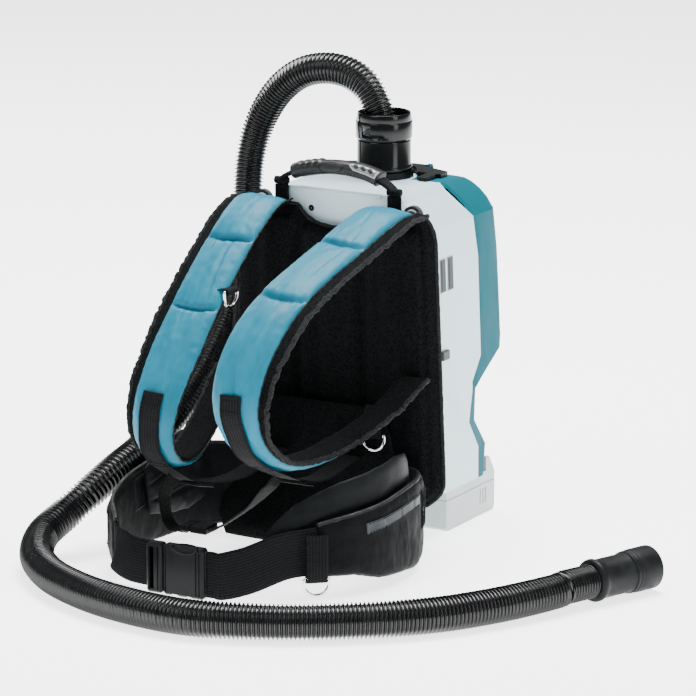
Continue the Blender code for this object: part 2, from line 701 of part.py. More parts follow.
def make_motor():
    """Fan unit in the motor room: can, core, shaft and impeller on one upright axis."""
    up = Vector((0, 0, 1))
    base = place(0, MOTOR_DEPTH, MOTOR_BASE_Z)
    tall = MOTOR_TOP_Z - MOTOR_BASE_Z
    inner = MOTOR_R - 0.0025
    port = 0.0150
    profile = [(0.0, 0.0), (MOTOR_R, 0.0), (MOTOR_R, tall), (port, tall), (port, tall - 0.003),
               (inner, tall - 0.003), (inner, 0.003), (0.0, 0.003)]
    can = turned("motor_housing", base, up, profile, grey_plastic())
    cut(can, block("cut_exhaust", (-0.010, MOTOR_DEPTH + 0.020, MOTOR_TOP_Z - 0.024),
                   (0.010, MOTOR_DEPTH + 0.050, MOTOR_TOP_Z - 0.006), grey_plastic()))
    join(can, block("guide_motor_foot", (-0.020, MOTOR_DEPTH - 0.020, BAY_ROOF_Z + WALL + GAP),
                    (0.020, MOTOR_DEPTH + 0.020, MOTOR_BASE_Z + 0.001), grey_plastic()))
    core_low, core_high = 0.003 + GAP, 0.040
    bore = SHAFT_R + 0.00008
    profile = [(bore, core_low), (inner - GAP, core_low), (inner - GAP, core_high), (bore, core_high)]
    turned("motor_core", base, up, profile, steel())
    fan_low = core_high + 0.003
    fan_high = tall - 0.0045
    axis = place(0, MOTOR_DEPTH, MOTOR_BASE_Z + fan_low)
    shaft = rod("motor_shaft", base + up * (core_low + GAP), base + up * (fan_high - 0.001), SHAFT_R,
                steel(), 16, axis)
    impeller_r = inner - 0.0025
    hub = SHAFT_R + 0.00008
    profile = [(hub, 0.0), (impeller_r, 0.0), (impeller_r, 0.0015), (hub + 0.004, 0.0015),
               (hub + 0.002, fan_high - fan_low), (hub, fan_high - fan_low)]
    impeller = turned("impeller", axis, up, profile, grey_plastic(), 24, axis)
    for step in range(7):
        turn = 2 * math.pi * step / 7
        outward = Vector((math.cos(turn), math.sin(turn), 0))
        swept = Vector((math.cos(turn + 0.5), math.sin(turn + 0.5), 0))
        side = Vector((-math.sin(turn), math.cos(turn), 0)) * 0.0006
        low, high = up * 0.001, up * (fan_high - fan_low - 0.002)
        near, far = axis + outward * 0.0075, axis + swept * (impeller_r - 0.001)
        rings = [[point - side + low, point + side + low, point + side + high, point - side + high]
                 for point in (near, far)]
        join(impeller, finish(f"guide_blade_{step}", loft(rings), grey_plastic()))
    return shaft


def make_filter():
    """Pleated filter cup that covers the air way in the deck."""
    floor = DECK_Z + DECK + GAP
    pleats, tall, skin = 15, 0.036, 0.0018
    rings = []
    profile = [(floor, 0.0), (floor + tall, 0.0), (floor + tall, skin), (floor, skin)]
    for height, inset in profile:
        ring = []
        for step in range(2 * pleats):
            turn = math.pi * step / pleats
            radius = (0.0345 if step % 2 else 0.0305) - inset
            ring.append(place(math.sin(turn) * radius, MOTOR_DEPTH + math.cos(turn) * radius, height))
        rings.append(ring)
    pleated = finish("filter", loft(rings, closed=True), white_plastic())
    join(pleated, rod("guide_filter_cap", place(0, MOTOR_DEPTH, floor + tall - 0.001),
                      place(0, MOTOR_DEPTH, floor + tall + 0.002), 0.0355, white_plastic(), 20))


def make_bag():
    """Dust bag and the stiff collar that hangs it on the inlet."""
    collar_top = TOP_Z - INLET_DROP - GAP
    collar = block("bag_collar", (-0.046, INLET_DEPTH - 0.040, collar_top - 0.003),
                   (0.046, INLET_DEPTH + 0.040, collar_top), pale_plastic())
    cut(collar, rod("cut_collar", place(0, INLET_DEPTH, collar_top - 0.02),
                    place(0, INLET_DEPTH, collar_top + 0.02), INLET_BORE_R, pale_plastic(), 20))
    top = collar_top - 0.003 - GAP
    low = DECK_Z + BAG_LIFT
    points = [place(0, INLET_DEPTH - 0.008, low + (top - low) * share)
              for share in (0.0, 0.155, 0.459, 0.763, 1.0)]
    bag = band("dust_bag", points, [0.110, 0.168, 0.176, 0.166, 0.086], [0.070, 0.120, 0.128, 0.116, 0.080],
               [(1, 0, 0)] * 2, white_plastic(), 9, 14, square=0.7)
    cut(bag, rod("cut_bag", place(0, INLET_DEPTH, top - 0.040), place(0, INLET_DEPTH, top + 0.020),
                 INLET_BORE_R - 0.002, white_plastic(), 16))


def make_board():
    """Control board on the back wall, with its tall parts."""
    back = WALL + GAP
    board = block("control_board", (0.042, back + 0.004, 0.078), (0.094, back + 0.0056, 0.134),
                  grey_plastic())
    tall_parts = ((0.052, 0.090, 0.012), (0.070, 0.096, 0.016), (0.084, 0.120, 0.009))
    for index, (x, z, tall) in enumerate(tall_parts):
        join(board, block(f"guide_part_{index}", (x - 0.006, back + 0.005, z - 0.006),
                          (x + 0.006, back + 0.0056 + tall, z + 0.006), grey_plastic()))
    for index, (x, z) in enumerate(((0.046, 0.082), (0.090, 0.082), (0.046, 0.130), (0.090, 0.130))):
        join(board, block(f"guide_foot_{index}", (x - 0.002, back, z - 0.002),
                          (x + 0.002, back + 0.0045, z + 0.002), grey_plastic()))


# ---------------------------------------------------------------- batteries
def make_batteries():
    for name, side in SIDES:
        centre = side * BATTERY_X
        button_z = BATTERY_NOSE_Z - 0.004
        pack_pivot = place(centre, BATTERY_BACK, 0)
        profile = [(BATTERY_BACK, 0.003), (BATTERY_BACK + 0.003, 0.0), (BATTERY_FRONT - 0.004, 0.0),
                   (BATTERY_FRONT, 0.004), (BATTERY_FRONT, 0.042), (BATTERY_FRONT - 0.012, BATTERY_NOSE_Z),
                   (BATTERY_NOSE, BATTERY_NOSE_Z), (BATTERY_NOSE, BASE_Z - GAP), (BATTERY_BACK, BASE_Z - GAP)]
        rings = [[place(x, depth, z) for depth, z in profile]
                 for x in (centre - BATTERY_HALF, centre + BATTERY_HALF)]
        pack = finish(f"battery_{name}", loft(rings), pale_plastic(), pack_pivot)
        join(pack, block(f"guide_rail_{name}", (centre - RAIL_HALF, BATTERY_BACK, BASE_Z - 0.004),
                         (centre + RAIL_HALF, BATTERY_NOSE + 0.004, BAY_ROOF_Z - SNUG), pale_plastic()))
        for blade in (-1, 1):
            x = centre + blade * 0.010
            cut(pack, block(f"cut_blade_{name}_{blade}", (x - 0.0012, BATTERY_BACK - 0.01, BASE_Z + 0.0025),
                            (x + 0.0012, BATTERY_BACK + 0.013, BAY_ROOF_Z + 0.01), pale_plastic()))
        recess = BUTTON_HALF + SNUG
        cut(pack, block(f"cut_button_{name}", (centre - recess, BATTERY_FRONT - 0.016, button_z - 0.014),
                        (centre + recess, BATTERY_FRONT + 0.01, BATTERY_NOSE_Z + 0.01), pale_plastic()))
        low_z = button_z - 0.014 + GAP
        button = [(BATTERY_FRONT - 0.0105, low_z), (BATTERY_FRONT - 0.0005, low_z),
                  (BATTERY_FRONT - 0.0005, low_z + 0.003), (BATTERY_FRONT - 0.0080, BATTERY_NOSE_Z - 0.001),
                  (BATTERY_FRONT - 0.0105, BATTERY_NOSE_Z - 0.001)]
        rings = [[place(x, depth, z) for depth, z in button]
                 for x in (centre - BUTTON_HALF, centre + BUTTON_HALF)]
        finish(f"battery_button_{name}", loft(rings), black_plastic(), place(centre, BATTERY_FRONT, low_z))
        terminal = block(f"battery_terminal_{name}",
                         (centre - 0.016, BATTERY_BACK - 0.016 + GAP, BASE_Z + 0.002),
                         (centre + 0.016, BATTERY_BACK - GAP - 0.0005, BAY_ROOF_Z - GAP), black_plastic())
        for blade in (-1, 1):
            x = centre + blade * 0.010
            join(terminal, block(f"guide_blade_{name}_{blade}",
                                 (x - 0.0005, BATTERY_BACK - 0.004, BASE_Z + 0.004),
                                 (x + 0.0005, BATTERY_BACK + 0.011, BAY_ROOF_Z - 0.003), steel()))


# ---------------------------------------------------------------- harness frame, pads and handle
def make_plate():
    """Harness plate behind the pad, with an eyelet ear at each top corner."""
    front, back = PLATE_FRONT, -GAP
    plate = block("back_plate", (-PLATE_HALF, front, PLATE_BASE_Z), (PLATE_HALF, back, PLATE_TOP_Z),
                  grey_plastic())
    cut(plate, block("cut_plate_notch", (-NOTCH_HALF, front - 0.01, NOTCH_Z),
                     (NOTCH_HALF, back + 0.01, PLATE_TOP_Z + 0.01), grey_plastic()))
    for name, side in SIDES:
        x = side * EAR_X
        join(plate, rod(f"guide_ear_{name}", place(x, front, EAR_Z), place(x, back, EAR_Z), EAR_R,
                        grey_plastic(), 20))
        low, high = sorted((side * (EAR_X - EAR_R + 0.001), side * (EAR_X + EAR_R - 0.001)))
        join(plate, block(f"guide_ear_neck_{name}", (low, front, PLATE_TOP_Z - 0.004), (high, back, EAR_Z),
                          grey_plastic()))
        cut(plate, rod(f"cut_ear_{name}", place(x, front - 0.01, EAR_Z), place(x, back + 0.01, EAR_Z), 0.0042,
                       grey_plastic(), 16))


def make_back_pad():
    """Tall back pad: two side cushions, a channel between them and a low top edge in the middle."""
    back = PLATE_FRONT - GAP
    rows = 13
    rings = []
    for row in range(rows):
        share = row / (rows - 1)
        height = PAD_BOTTOM_Z + (PAD_TOP_Z - PAD_BOTTOM_Z) * share
        half = PAD_BOTTOM_HALF + (PAD_TOP_HALF - PAD_BOTTOM_HALF) * share
        half -= 0.022 * max(0.0, 1 - share * 9) ** 2 + 0.010 * max(0.0, 1 - (1 - share) * 12) ** 2
        full = 1.0 - 0.55 * max(0.0, 1 - share * 9) ** 2 - 0.45 * max(0.0, 1 - (1 - share) * 9) ** 2
        outline = []
        for x_share, thick in ((-1, 0.45), (-0.9, 0.85), (-0.62, 1.0), (-0.46, 0.72), (-0.3, 0.66),
                               (0.0, PAD_MIDDLE), (0.3, 0.66), (0.46, 0.72), (0.62, 1.0), (0.9, 0.85),
                               (1, 0.45)):
            outline.append((x_share * half, back - (back - PAD_FRONT) * thick * full))
        outline += [(half, back), (-half, back)]
        rings.append([place(x, depth, height) for x, depth in outline])
    pad = finish("back_pad", loft(rings), black_fabric(), smooth_angle=60)
    dip = []
    for depth in (PAD_FRONT - 0.01, back + 0.01):
        dip.append([place(0.042 * math.cos(t), depth, PAD_TOP_Z + 0.004 + 0.024 * math.sin(t))
                    for t in [2 * math.pi * step / 16 for step in range(16)]])
    cut(pad, finish("cut_pad_dip", loft(dip), black_fabric()))


def make_handle():
    """Carry handle: two webbing ends sewn to the plate and a grip that flops either way."""
    pivot = place(0, HANDLE_DEPTH, HANDLE_Z)
    top = HANDLE_Z - HANDLE_LUG_R - GAP
    for name, side in SIDES:
        x = side * HANDLE_X
        block(f"handle_webbing_{name}", (x - 0.008, HANDLE_DEPTH - 0.0022, PLATE_TOP_Z + GAP),
              (x + 0.008, HANDLE_DEPTH + 0.0022, top), black_webbing(), 0.0006)
    arch = ((-1.0, 0.0010), (-0.91, 0.0070), (-0.70, 0.0135), (-0.30, 0.0200), (0.09, 0.0220), (0.48, 0.0195),
            (0.76, 0.0130), (0.92, 0.0060), (1.0, 0.0010))
    points = [place(share * HANDLE_X, HANDLE_DEPTH, HANDLE_Z + rise) for share, rise in arch]
    grip = band("handle_grip", points, [0.010, 0.017, 0.021, 0.023, 0.023, 0.023, 0.021, 0.017, 0.010],
                [0.007, 0.011, 0.015, 0.016, 0.016, 0.016, 0.015, 0.011, 0.007], [(0, 1, 0)] * 2,
                black_rubber(), 15, 10, square=0.8)
    for name, side in SIDES:
        low, high = sorted((side * (HANDLE_X - 0.008), side * (HANDLE_X + 0.008)))
        join(grip, rod(f"guide_lug_{name}", place(low, HANDLE_DEPTH, HANDLE_Z),
                       place(high, HANDLE_DEPTH, HANDLE_Z), HANDLE_LUG_R, black_rubber(), 12))
    grip.location = pivot
    for vertex in grip.data.vertices:
        vertex.co += Vector((0.0, BACK_Y, 0.0)) - pivot


STRAP_ROUTES = {
    "left": ((-0.0745, -0.0080, STRAP_END_Z), (-0.0750, -0.0420, 0.3480), (-0.0750, -0.0880, 0.3220),
             (-0.0750, -0.1530, 0.2710), (-0.0760, -0.2050, 0.2180), (-0.0780, -0.2320, 0.1780),
             (-0.0810, -0.2330, 0.1420), (-0.0840, -0.2050, 0.1140), (-0.0880, -0.1620, 0.1080),
             (-0.0950, -0.1180, 0.1220), (-0.1020, -0.0760, 0.1450), (-0.1060, -0.0440, 0.1680),
             (-0.1065, STRAP_FOOT, 0.1700)),
    "right": ((0.0745, -0.0080, STRAP_END_Z), (0.0720, -0.0520, 0.3500), (0.0640, -0.1130, 0.3290),
              (0.0540, -0.2050, 0.2960), (0.0480, -0.2620, 0.2540), (0.0460, -0.2860, 0.2060),
              (0.0500, -0.2720, 0.1620), (0.0580, -0.2300, 0.1340), (0.0700, -0.1750, 0.1290),
              (0.0860, -0.1240, 0.1420), (0.0980, -0.0780, 0.1590), (0.1060, -0.0440, 0.1790),
              (0.1065, STRAP_FOOT, 0.1800)),
}
STRAP_WIDTHS = (0.053, 0.053, 0.053, 0.053, 0.055, 0.056, 0.052, 0.044, 0.036, 0.032, 0.030, 0.029, 0.028)
STRAP_THICKS = (0.015, 0.016, 0.016, 0.016, 0.016, 0.016, 0.015, 0.013, 0.012, 0.011, 0.010, 0.010, 0.009)


def make_straps():
    for name, _ in SIDES:
        points = [place(*point) for point in STRAP_ROUTES[name]]
        band(f"shoulder_strap_{name}", points, STRAP_WIDTHS, STRAP_THICKS, [(1, 0, 0)] * 2, teal_fabric(),
             31, 12, seams=(0.16, 0.32))


WING_ROUTES = {
    "left": ((-0.0840, LUMBAR_DEPTH, HIP_Z), (-0.1040, -0.0430, HIP_Z), (-0.1240, -0.0600, HIP_Z),
             (-0.1395, -0.0980, 0.062), (-0.1435, -0.1400, 0.059), (-0.1425, -0.1850, 0.054),
             (-0.1310, -0.2300, 0.046), (-0.1080, -0.2620, 0.038)),
    "right": ((0.0840, LUMBAR_DEPTH, HIP_Z), (0.1040, -0.0430, HIP_Z), (0.1230, -0.0580, HIP_Z),
              (0.1380, -0.0870, 0.064), (0.1435, -0.1220, 0.063), (0.1400, -0.1600, 0.058),
              (0.1260, -0.1950, 0.054), (0.1040, -0.2220, 0.050)),
}
WING_WIDTHS = (0.052, 0.058, 0.061, 0.062, 0.060, 0.058, 0.056, 0.052)
WING_THICK = 0.0120
WING_SHARES = (0.75, 0.95, 1.0, 1.0, 1.0, 1.0, 0.85, 0.65)
HIP_PAD_THICK = 0.0140
HIP_PAD_GAP = 0.0003


def beyond(route, distance):
    """A point past the end of a route, straight along its last run."""
    last, before = place(*route[-1]), place(*route[-2])
    return last + (last - before).normalized() * distance


def make_hips():
    """Lumbar pad, the two padded wings of the hip belt and the inner hip pads."""
    lumbar = [place(0, LUMBAR_DEPTH, z) for z in (0.062, 0.080, 0.105, 0.130, 0.148)]
    band("lumbar_pad", lumbar, [0.140, 0.165, 0.170, 0.160, 0.125],
         [LUMBAR_THICK * share for share in (0.62, 0.92, 1.0, 0.92, 0.62)], [(1, 0, 0)] * 2,
         black_fabric(), 7, 14)
    for name, side in SIDES:
        route = [place(*point) for point in WING_ROUTES[name]]
        band(f"hip_belt_{name}", route, WING_WIDTHS, [WING_THICK * share for share in WING_SHARES],
             [(0, 0, 1)] * 2, black_fabric(), 15, 12)
        path = smooth_path(route, 61)
        inner = []
        for share, rise in ((0.24, 0.012), (0.33, 0.012), (0.42, 0.011), (0.51, 0.010), (0.60, 0.009)):
            index = round(share * 60)
            ahead = path[index + 1] - path[index - 1]
            inward = ahead.cross(Vector((0, 0, 1))).normalized() * side
            inner.append(path[index] + inward * (WING_THICK / 2 + HIP_PAD_THICK / 2 + HIP_PAD_GAP)
                         + Vector((0, 0, rise)))
        band(f"hip_pad_{name}", inner, [0.070, 0.086, 0.080, 0.068, 0.050],
             [HIP_PAD_THICK * share for share in (0.7, 1.0, 1.0, 1.0, 0.65)], [(0, 0, 1)] * 2,
             black_fabric(), 11, 12)


def make_belt_webbing():
    """Wide webbing from the wings to the waist buckle."""
    behind = BUCKLE_DEPTH + BUCKLE_THICK / 2 + GAP + WEB_THICK / 2
    left = [beyond(WING_ROUTES["left"], 0.0013), beyond(WING_ROUTES["left"], 0.010)]
    left += [place(*p) for p in ((-0.0880, behind, 0.0285), (-0.0700, behind, BUCKLE_Z),
                                 (-0.0440, behind, BUCKLE_Z))]
    right = [beyond(WING_ROUTES["right"], 0.0008), beyond(WING_ROUTES["right"], 0.010)]
    right += [place(*p) for p in ((0.0770, -0.2480, 0.0420), (0.0500, -0.2700, 0.0300),
                                  (0.0260, BUCKLE_DEPTH, BUCKLE_Z),
                                  (0.0170, BUCKLE_DEPTH, BUCKLE_Z),
                                  (BUCKLE_X + BUCKLE_HALF + 2 * GAP, BUCKLE_DEPTH, BUCKLE_Z))]
    ribbon("belt_webbing_left", left, WEB_WIDTH, WEB_THICK, [(0, 0, 1)] * 2, black_webbing(), 10)
    ribbon("belt_webbing_right", right, WEB_WIDTH, WEB_THICK, [(0, 0, 1)] * 2, black_webbing(), 16)


def make_waist_buckle():
    """Side-release buckle: a hollow body and a two-pronged tongue that pulls out of it."""
    low_z, high_z = BUCKLE_Z - BUCKLE_TALL / 2, BUCKLE_Z + BUCKLE_TALL / 2
    front, back = BUCKLE_DEPTH - BUCKLE_THICK / 2, BUCKLE_DEPTH + BUCKLE_THICK / 2
    left, right = BUCKLE_X - BUCKLE_HALF, BUCKLE_X + BUCKLE_HALF
    body = block("buckle_body", (left, front, low_z), (right, back, high_z), black_plastic(), 0.0025)
    cut(body, block("cut_buckle", (left - 0.01, front + 0.0025, low_z + 0.005),
                    (right - 0.010, back - 0.0025, high_z - 0.005), black_plastic()))
    inner = 0.0025 + SNUG
    pivot = place(left, BUCKLE_DEPTH, BUCKLE_Z)
    edge = left - 0.0010
    tongue = block("buckle_tongue", (edge - 0.018, front, low_z + 0.0005), (edge, back, high_z - 0.0005),
                   black_plastic(), 0.0020, pivot)
    for name, side in SIDES:
        near, far = sorted((BUCKLE_Z + side * 0.010, BUCKLE_Z + side * (BUCKLE_TALL / 2 - 0.006 - SNUG)))
        join(tongue, block(f"guide_prong_{name}", (edge - 0.001, front + inner, near),
                           (left + 0.022, back - inner, far), black_plastic()))
    cut(tongue, block("cut_tongue_slot", (edge - 0.014, front - 0.01, BUCKLE_Z - WEB_WIDTH / 2 + 0.0025),
                      (edge - 0.009, back + 0.01, BUCKLE_Z + WEB_WIDTH / 2 - 0.0025), black_plastic()))


def make_chest_strap():
    """Narrow chest strap with its own small buckle, hanging open inside the belt."""
    width, depth, z = 0.020, -0.200, 0.0470
    under = z - 0.0035 - GAP - 0.0009
    left = [(-0.0800, -0.1962, 0.0932), (-0.0850, -0.2019, 0.0847), (-0.0880, -0.2010, 0.0700),
            (-0.0860, depth, 0.0520), (-0.0790, depth, under), (-0.0700, depth, under), (-0.0580, depth, under)]
    right = [(-0.0322, depth, z), (-0.0200, depth, 0.0530), (0.0180, -0.2080, 0.0800),
             (0.0500, -0.2277, 0.1074), (0.0569, -0.2232, 0.1172)]
    ribbon("chest_strap_left", [place(*p) for p in left], width, 0.0018,
           [(0.23, 0.81, -0.54), (0, 1, 0), (0, 1, 0)], black_webbing(), 14)
    ribbon("chest_strap_right", [place(*p) for p in right], width, 0.0018,
           [(0, 1, 0), (0, 1, 0), (0, 0.91, -0.41)], black_webbing(), 12)
    half = 0.012
    body = block("chest_buckle_body", (-0.0530, depth - half, z - 0.004),
                 (-0.0330 - GAP, depth + half, z + 0.004), black_plastic(), 0.0012)
    cut(body, block("cut_chest_buckle", (-0.0630, depth - half + 0.003, z - 0.0022),
                    (-0.0380, depth + half - 0.003, z + 0.0022), black_plastic()))
    pivot = place(-0.0530, depth, z)
    tongue = block("chest_buckle_tongue", (-0.0640, depth - half, z - 0.0035),
                   (-0.0535, depth + half, z + 0.0035), black_plastic(), 0.0010, pivot)
    join(tongue, block("guide_chest_prong", (-0.0545, depth - half + 0.0036, z - 0.0016),
                       (-0.0400, depth + half - 0.0036, z + 0.0016), black_plastic()))


def strap_face(name, share, lift):
    """A point on a shoulder strap's outer face, at a share of its length."""
    count = 61
    path = smooth_path([place(*point) for point in STRAP_ROUTES[name]], count)
    index = round(share * (count - 1))
    ahead = (path[index + 1] - path[index - 1]).normalized()
    outward = ahead.cross(Vector((1, 0, 0))).normalized()
    return path[index] + outward * (between(STRAP_THICKS, share) / 2 + lift)


def make_strap_webbing():
    """Webbing sewn to each strap's outer face, its run back to the lumbar pad, and the adjuster on it."""
    runs = {
        "left": [(-0.0740, -0.1740, 0.0860), (-0.0560, -0.1200, 0.0800), (-0.0450, -0.0750, 0.0920),
                 (-0.0420, STRAP_WEB_END, 0.0960)],
        "right": [(0.0560, -0.1900, 0.1080), (0.0460, -0.1250, 0.0930), (0.0430, -0.0750, 0.0960),
                  (0.0420, STRAP_WEB_END, 0.0980)],
    }
    lift = STRAP_WEB_GAP + STRAP_WEB_THICK / 2
    for name, _ in SIDES:
        sewn = [strap_face(name, share, lift) for share in (0.50, 0.54, 0.58, 0.62, 0.655)]
        points = sewn + [place(*point) for point in runs[name]]
        ribbon(f"strap_webbing_{name}", points, STRAP_WEB, STRAP_WEB_THICK, [(1, 0, 0)] * 2,
               black_webbing(), 26)
        make_adjuster(name, smooth_path(points, 101)[52:59])


def make_adjuster(name, points):
    """Ladder adjuster: a frame with two slots that lies along the webbing."""
    half, bar, thick = STRAP_WEB / 2 + 0.004, 0.011, 0.0030
    middle = points[len(points) // 2]
    ahead = (points[-1] - points[0]).normalized()
    wide = Vector((1, 0, 0))
    wide = (wide - wide.project(ahead)).normalized()
    down = ahead.cross(wide).normalized()
    centre = middle + down * (STRAP_WEB_THICK / 2 + GAP + thick / 2)

    def plate(title, along, reach, across, tall):
        rings = []
        for end in (along - reach, along + reach):
            rings.append([centre + ahead * end + wide * a * across + down * b * tall / 2
                          for a, b in ((-1, -1), (1, -1), (1, 1), (-1, 1))])
        return finish(title, loft(rings), black_plastic(), centre - ahead * bar)

    frame = plate(f"strap_adjuster_{name}", 0.0, bar, half, thick)
    for slot in (-1, 1):
        cut(frame, plate(f"cut_ladder_{name}_{slot}", slot * 0.0048, 0.0026, half - 0.0035, thick * 3))


def make_ring(name, centre, plane_side, bar_up):
    """D-ring: a bent wire with one straight side, which is its hinge line."""
    points = [centre - plane_side * RING_R, centre - plane_side * RING_R]
    arc = []
    for step in range(11):
        turn = math.pi * step / 10
        arc.append(centre + plane_side * (RING_R * math.cos(turn)) - bar_up * (0.004 + RING_R * math.sin(turn)))
    points = [centre + plane_side * RING_R] + arc + [centre - plane_side * RING_R]
    sides = 6
    rings = []
    for index, point in enumerate(points):
        ahead = (points[(index + 1) % len(points)] - points[index - 1]).normalized()
        normal = plane_side.cross(bar_up)
        across = ahead.cross(normal).normalized()
        turns = [2 * math.pi * step / sides for step in range(sides)]
        rings.append([point + RING_WIRE_R * (math.cos(t) * across + math.sin(t) * normal) for t in turns])
    return finish(name, loft(rings, closed=True), chrome(), centre, 50)


def make_rings():
    up = Vector((0, 0, 1))
    make_ring("d_ring_belt", place(0.1040, -0.2290, 0.0216), Vector((0.75, 0.66, 0)).normalized(), up)
    make_ring("d_ring_hip_right", place(0.0680, LUMBAR_DEPTH - 0.0120, 0.1240), Vector((1, 0, 0)), up)
    make_ring("d_ring_hip_left", place(-0.0700, LUMBAR_DEPTH - 0.0120, 0.1000), Vector((1, 0, 0)), up)
    make_ring("d_ring_strap", place(-0.0458, -0.1400, 0.2790), Vector((0, 1, 0)), up)


# ---------------------------------------------------------------- hose
HOSE_ROUTE = (
    (-0.0225, 0.0940, 0.4545), (-0.0430, 0.0940, 0.4655), (-0.0700, 0.0930, 0.4680),
    (-0.0990, 0.0920, 0.4600), (-0.1260, 0.0910, 0.4380), (-0.1450, 0.0870, 0.4050),
    (-0.1520, 0.0790, 0.3680), (-0.1500, 0.0690, 0.3300), (-0.1465, 0.0590, 0.2880),
    (-0.1460, 0.0460, 0.2460), (-0.1465, 0.0260, 0.2100), (-0.1490, 0.0030, 0.1810),
    (-0.1530, -0.0250, 0.1520), (-0.1600, -0.0600, 0.1230), (-0.1680, -0.1120, 0.0960),
    (-0.1740, -0.1600, 0.0800), (-0.1840, -0.1920, 0.0630), (-0.1980, -0.2160, 0.0440),
    (-0.2040, -0.2480, 0.0300), (-0.1880, -0.2850, 0.0212), (-0.1580, -0.3180, 0.0184),
    (-0.1180, -0.3480, 0.0182), (-0.0600, -0.3750, 0.0182), (0.0040, -0.3900, 0.0182),
    (0.0600, -0.3910, 0.0182), (0.1150, -0.3730, 0.0182), (0.1570, -0.3520, 0.0182),
    (0.1990, -0.3230, 0.0182), (0.2350, -0.2930, 0.0182), (0.2690, -0.2540, 0.0184),
    (0.3010, -0.2020, 0.0192), (0.3260, -0.1480, 0.0206),
)
HOSE_END = (0.3420, -0.1040, CUFF_AXIS_Z)
CUFF_HEADING = Vector((0.345, 0.94, 0.0)).normalized()


def hose_points(count):
    """Centreline: straight at both ends for one diameter, smooth in between."""
    start, end = place(*HOSE_START), place(*HOSE_END)
    lead = 2 * HOSE_R
    straight_in = [start, start + hose_lean() * (lead / 2), start + hose_lean() * lead]
    straight_out = [end - CUFF_HEADING * lead, end - CUFF_HEADING * (lead / 2), end]
    middle = [place(*point) for point in HOSE_ROUTE]
    return smooth_path(straight_in + middle + straight_out, count)


def make_hose():
    count = 2 * HOSE_RIBS
    points = hose_points(count)
    radii = [HOSE_ROOT_R if index % 2 else HOSE_R for index in range(count)]
    hose = pipe("hose", points, radii, black_rubber(), smooth_angle=25)
    bore_points = hose_points(HOSE_BORE_STEPS)
    first, last = bore_points[0] - bore_points[1], bore_points[-1] - bore_points[-2]
    bore_points[0] = bore_points[0] + first.normalized() * 0.002
    bore_points[-1] = bore_points[-1] + last.normalized() * 0.002
    cut(hose, pipe("cut_hose_bore", bore_points, [HOSE_BORE_R] * len(bore_points), black_rubber()))


def make_cuff():
    """End cuff: a flared ring and narrow sleeve on the hose, then the wide open mouth."""
    start = place(*HOSE_END) + CUFF_HEADING * GAP
    ring = 0.010
    profile = [(HOSE_BORE_R, 0.0), (SLEEVE_RING_R, 0.0), (SLEEVE_RING_R, ring * 0.6), (SLEEVE_R, ring),
               (SLEEVE_R * 0.99, SLEEVE_LENGTH), (HOSE_BORE_R, SLEEVE_LENGTH)]
    turned("hose_cuff_sleeve", start, CUFF_HEADING, profile, black_rubber())
    start = start + CUFF_HEADING * (SLEEVE_LENGTH + GAP)
    profile = [(HOSE_BORE_R, 0.0), (SLEEVE_R, 0.0), (CUFF_R - 0.0004, 0.005), (CUFF_R, 0.007),
               (CUFF_R, CUFF_LENGTH), (CUFF_BORE_R, CUFF_LENGTH), (CUFF_BORE_R, 0.006), (HOSE_BORE_R, 0.004)]
    turned("hose_end_cuff", start, CUFF_HEADING, profile, black_rubber())


def main():
    clear_scene()
    make_housing()
    make_vents()
    make_rocker()
    make_trim()
    make_cover()
    make_gasket()
    make_latch()
    make_inlet()
    make_coupler()
    make_motor()
    make_filter()
    make_bag()
    make_board()
    make_batteries()
    make_plate()
    make_back_pad()
    make_handle()
    make_straps()
    make_hips()
    make_belt_webbing()
    make_waist_buckle()
    make_chest_strap()
    make_strap_webbing()
    make_rings()
    make_hose()
    make_cuff()


main()
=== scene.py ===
"""Cordless backpack vacuum cleaner: materials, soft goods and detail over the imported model.

Metres, +Z up.  A place is (x, depth, height), where depth is the distance behind the flat back face.
"""
import json
import math

import bmesh
import bpy
from mathutils import Matrix, Vector, noise

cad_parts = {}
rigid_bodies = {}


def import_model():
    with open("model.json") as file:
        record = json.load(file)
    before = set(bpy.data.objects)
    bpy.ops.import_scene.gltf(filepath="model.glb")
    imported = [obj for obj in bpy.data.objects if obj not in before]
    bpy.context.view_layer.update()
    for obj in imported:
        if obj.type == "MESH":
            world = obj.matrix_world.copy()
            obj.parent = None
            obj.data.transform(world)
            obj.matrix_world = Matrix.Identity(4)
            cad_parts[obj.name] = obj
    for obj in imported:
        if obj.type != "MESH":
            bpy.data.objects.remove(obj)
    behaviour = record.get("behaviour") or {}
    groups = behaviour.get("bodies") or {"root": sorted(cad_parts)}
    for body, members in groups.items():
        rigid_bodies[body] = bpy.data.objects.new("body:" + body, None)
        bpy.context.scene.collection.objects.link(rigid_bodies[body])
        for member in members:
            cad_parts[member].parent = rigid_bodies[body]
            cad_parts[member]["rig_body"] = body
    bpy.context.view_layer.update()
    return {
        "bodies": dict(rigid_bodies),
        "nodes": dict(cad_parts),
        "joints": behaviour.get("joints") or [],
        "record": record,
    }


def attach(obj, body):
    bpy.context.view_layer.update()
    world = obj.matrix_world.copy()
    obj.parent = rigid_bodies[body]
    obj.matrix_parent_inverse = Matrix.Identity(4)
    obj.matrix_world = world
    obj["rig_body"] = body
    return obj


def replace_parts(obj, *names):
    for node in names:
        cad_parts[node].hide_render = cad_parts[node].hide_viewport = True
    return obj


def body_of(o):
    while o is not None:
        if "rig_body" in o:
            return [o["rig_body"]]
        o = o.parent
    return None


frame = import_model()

BACK_Y = 0.0635
SIDES = (("left", -1.0), ("right", 1.0))
UP = Vector((0, 0, 1))


# ---------------------------------------------------------------- small tools
def place(x, depth, height):
    return Vector((x, BACK_Y + depth, height))


def places(points):
    return [place(*point) for point in points]


def turns(count):
    """Even turns round a circle."""
    return [math.tau * step / count for step in range(count)]


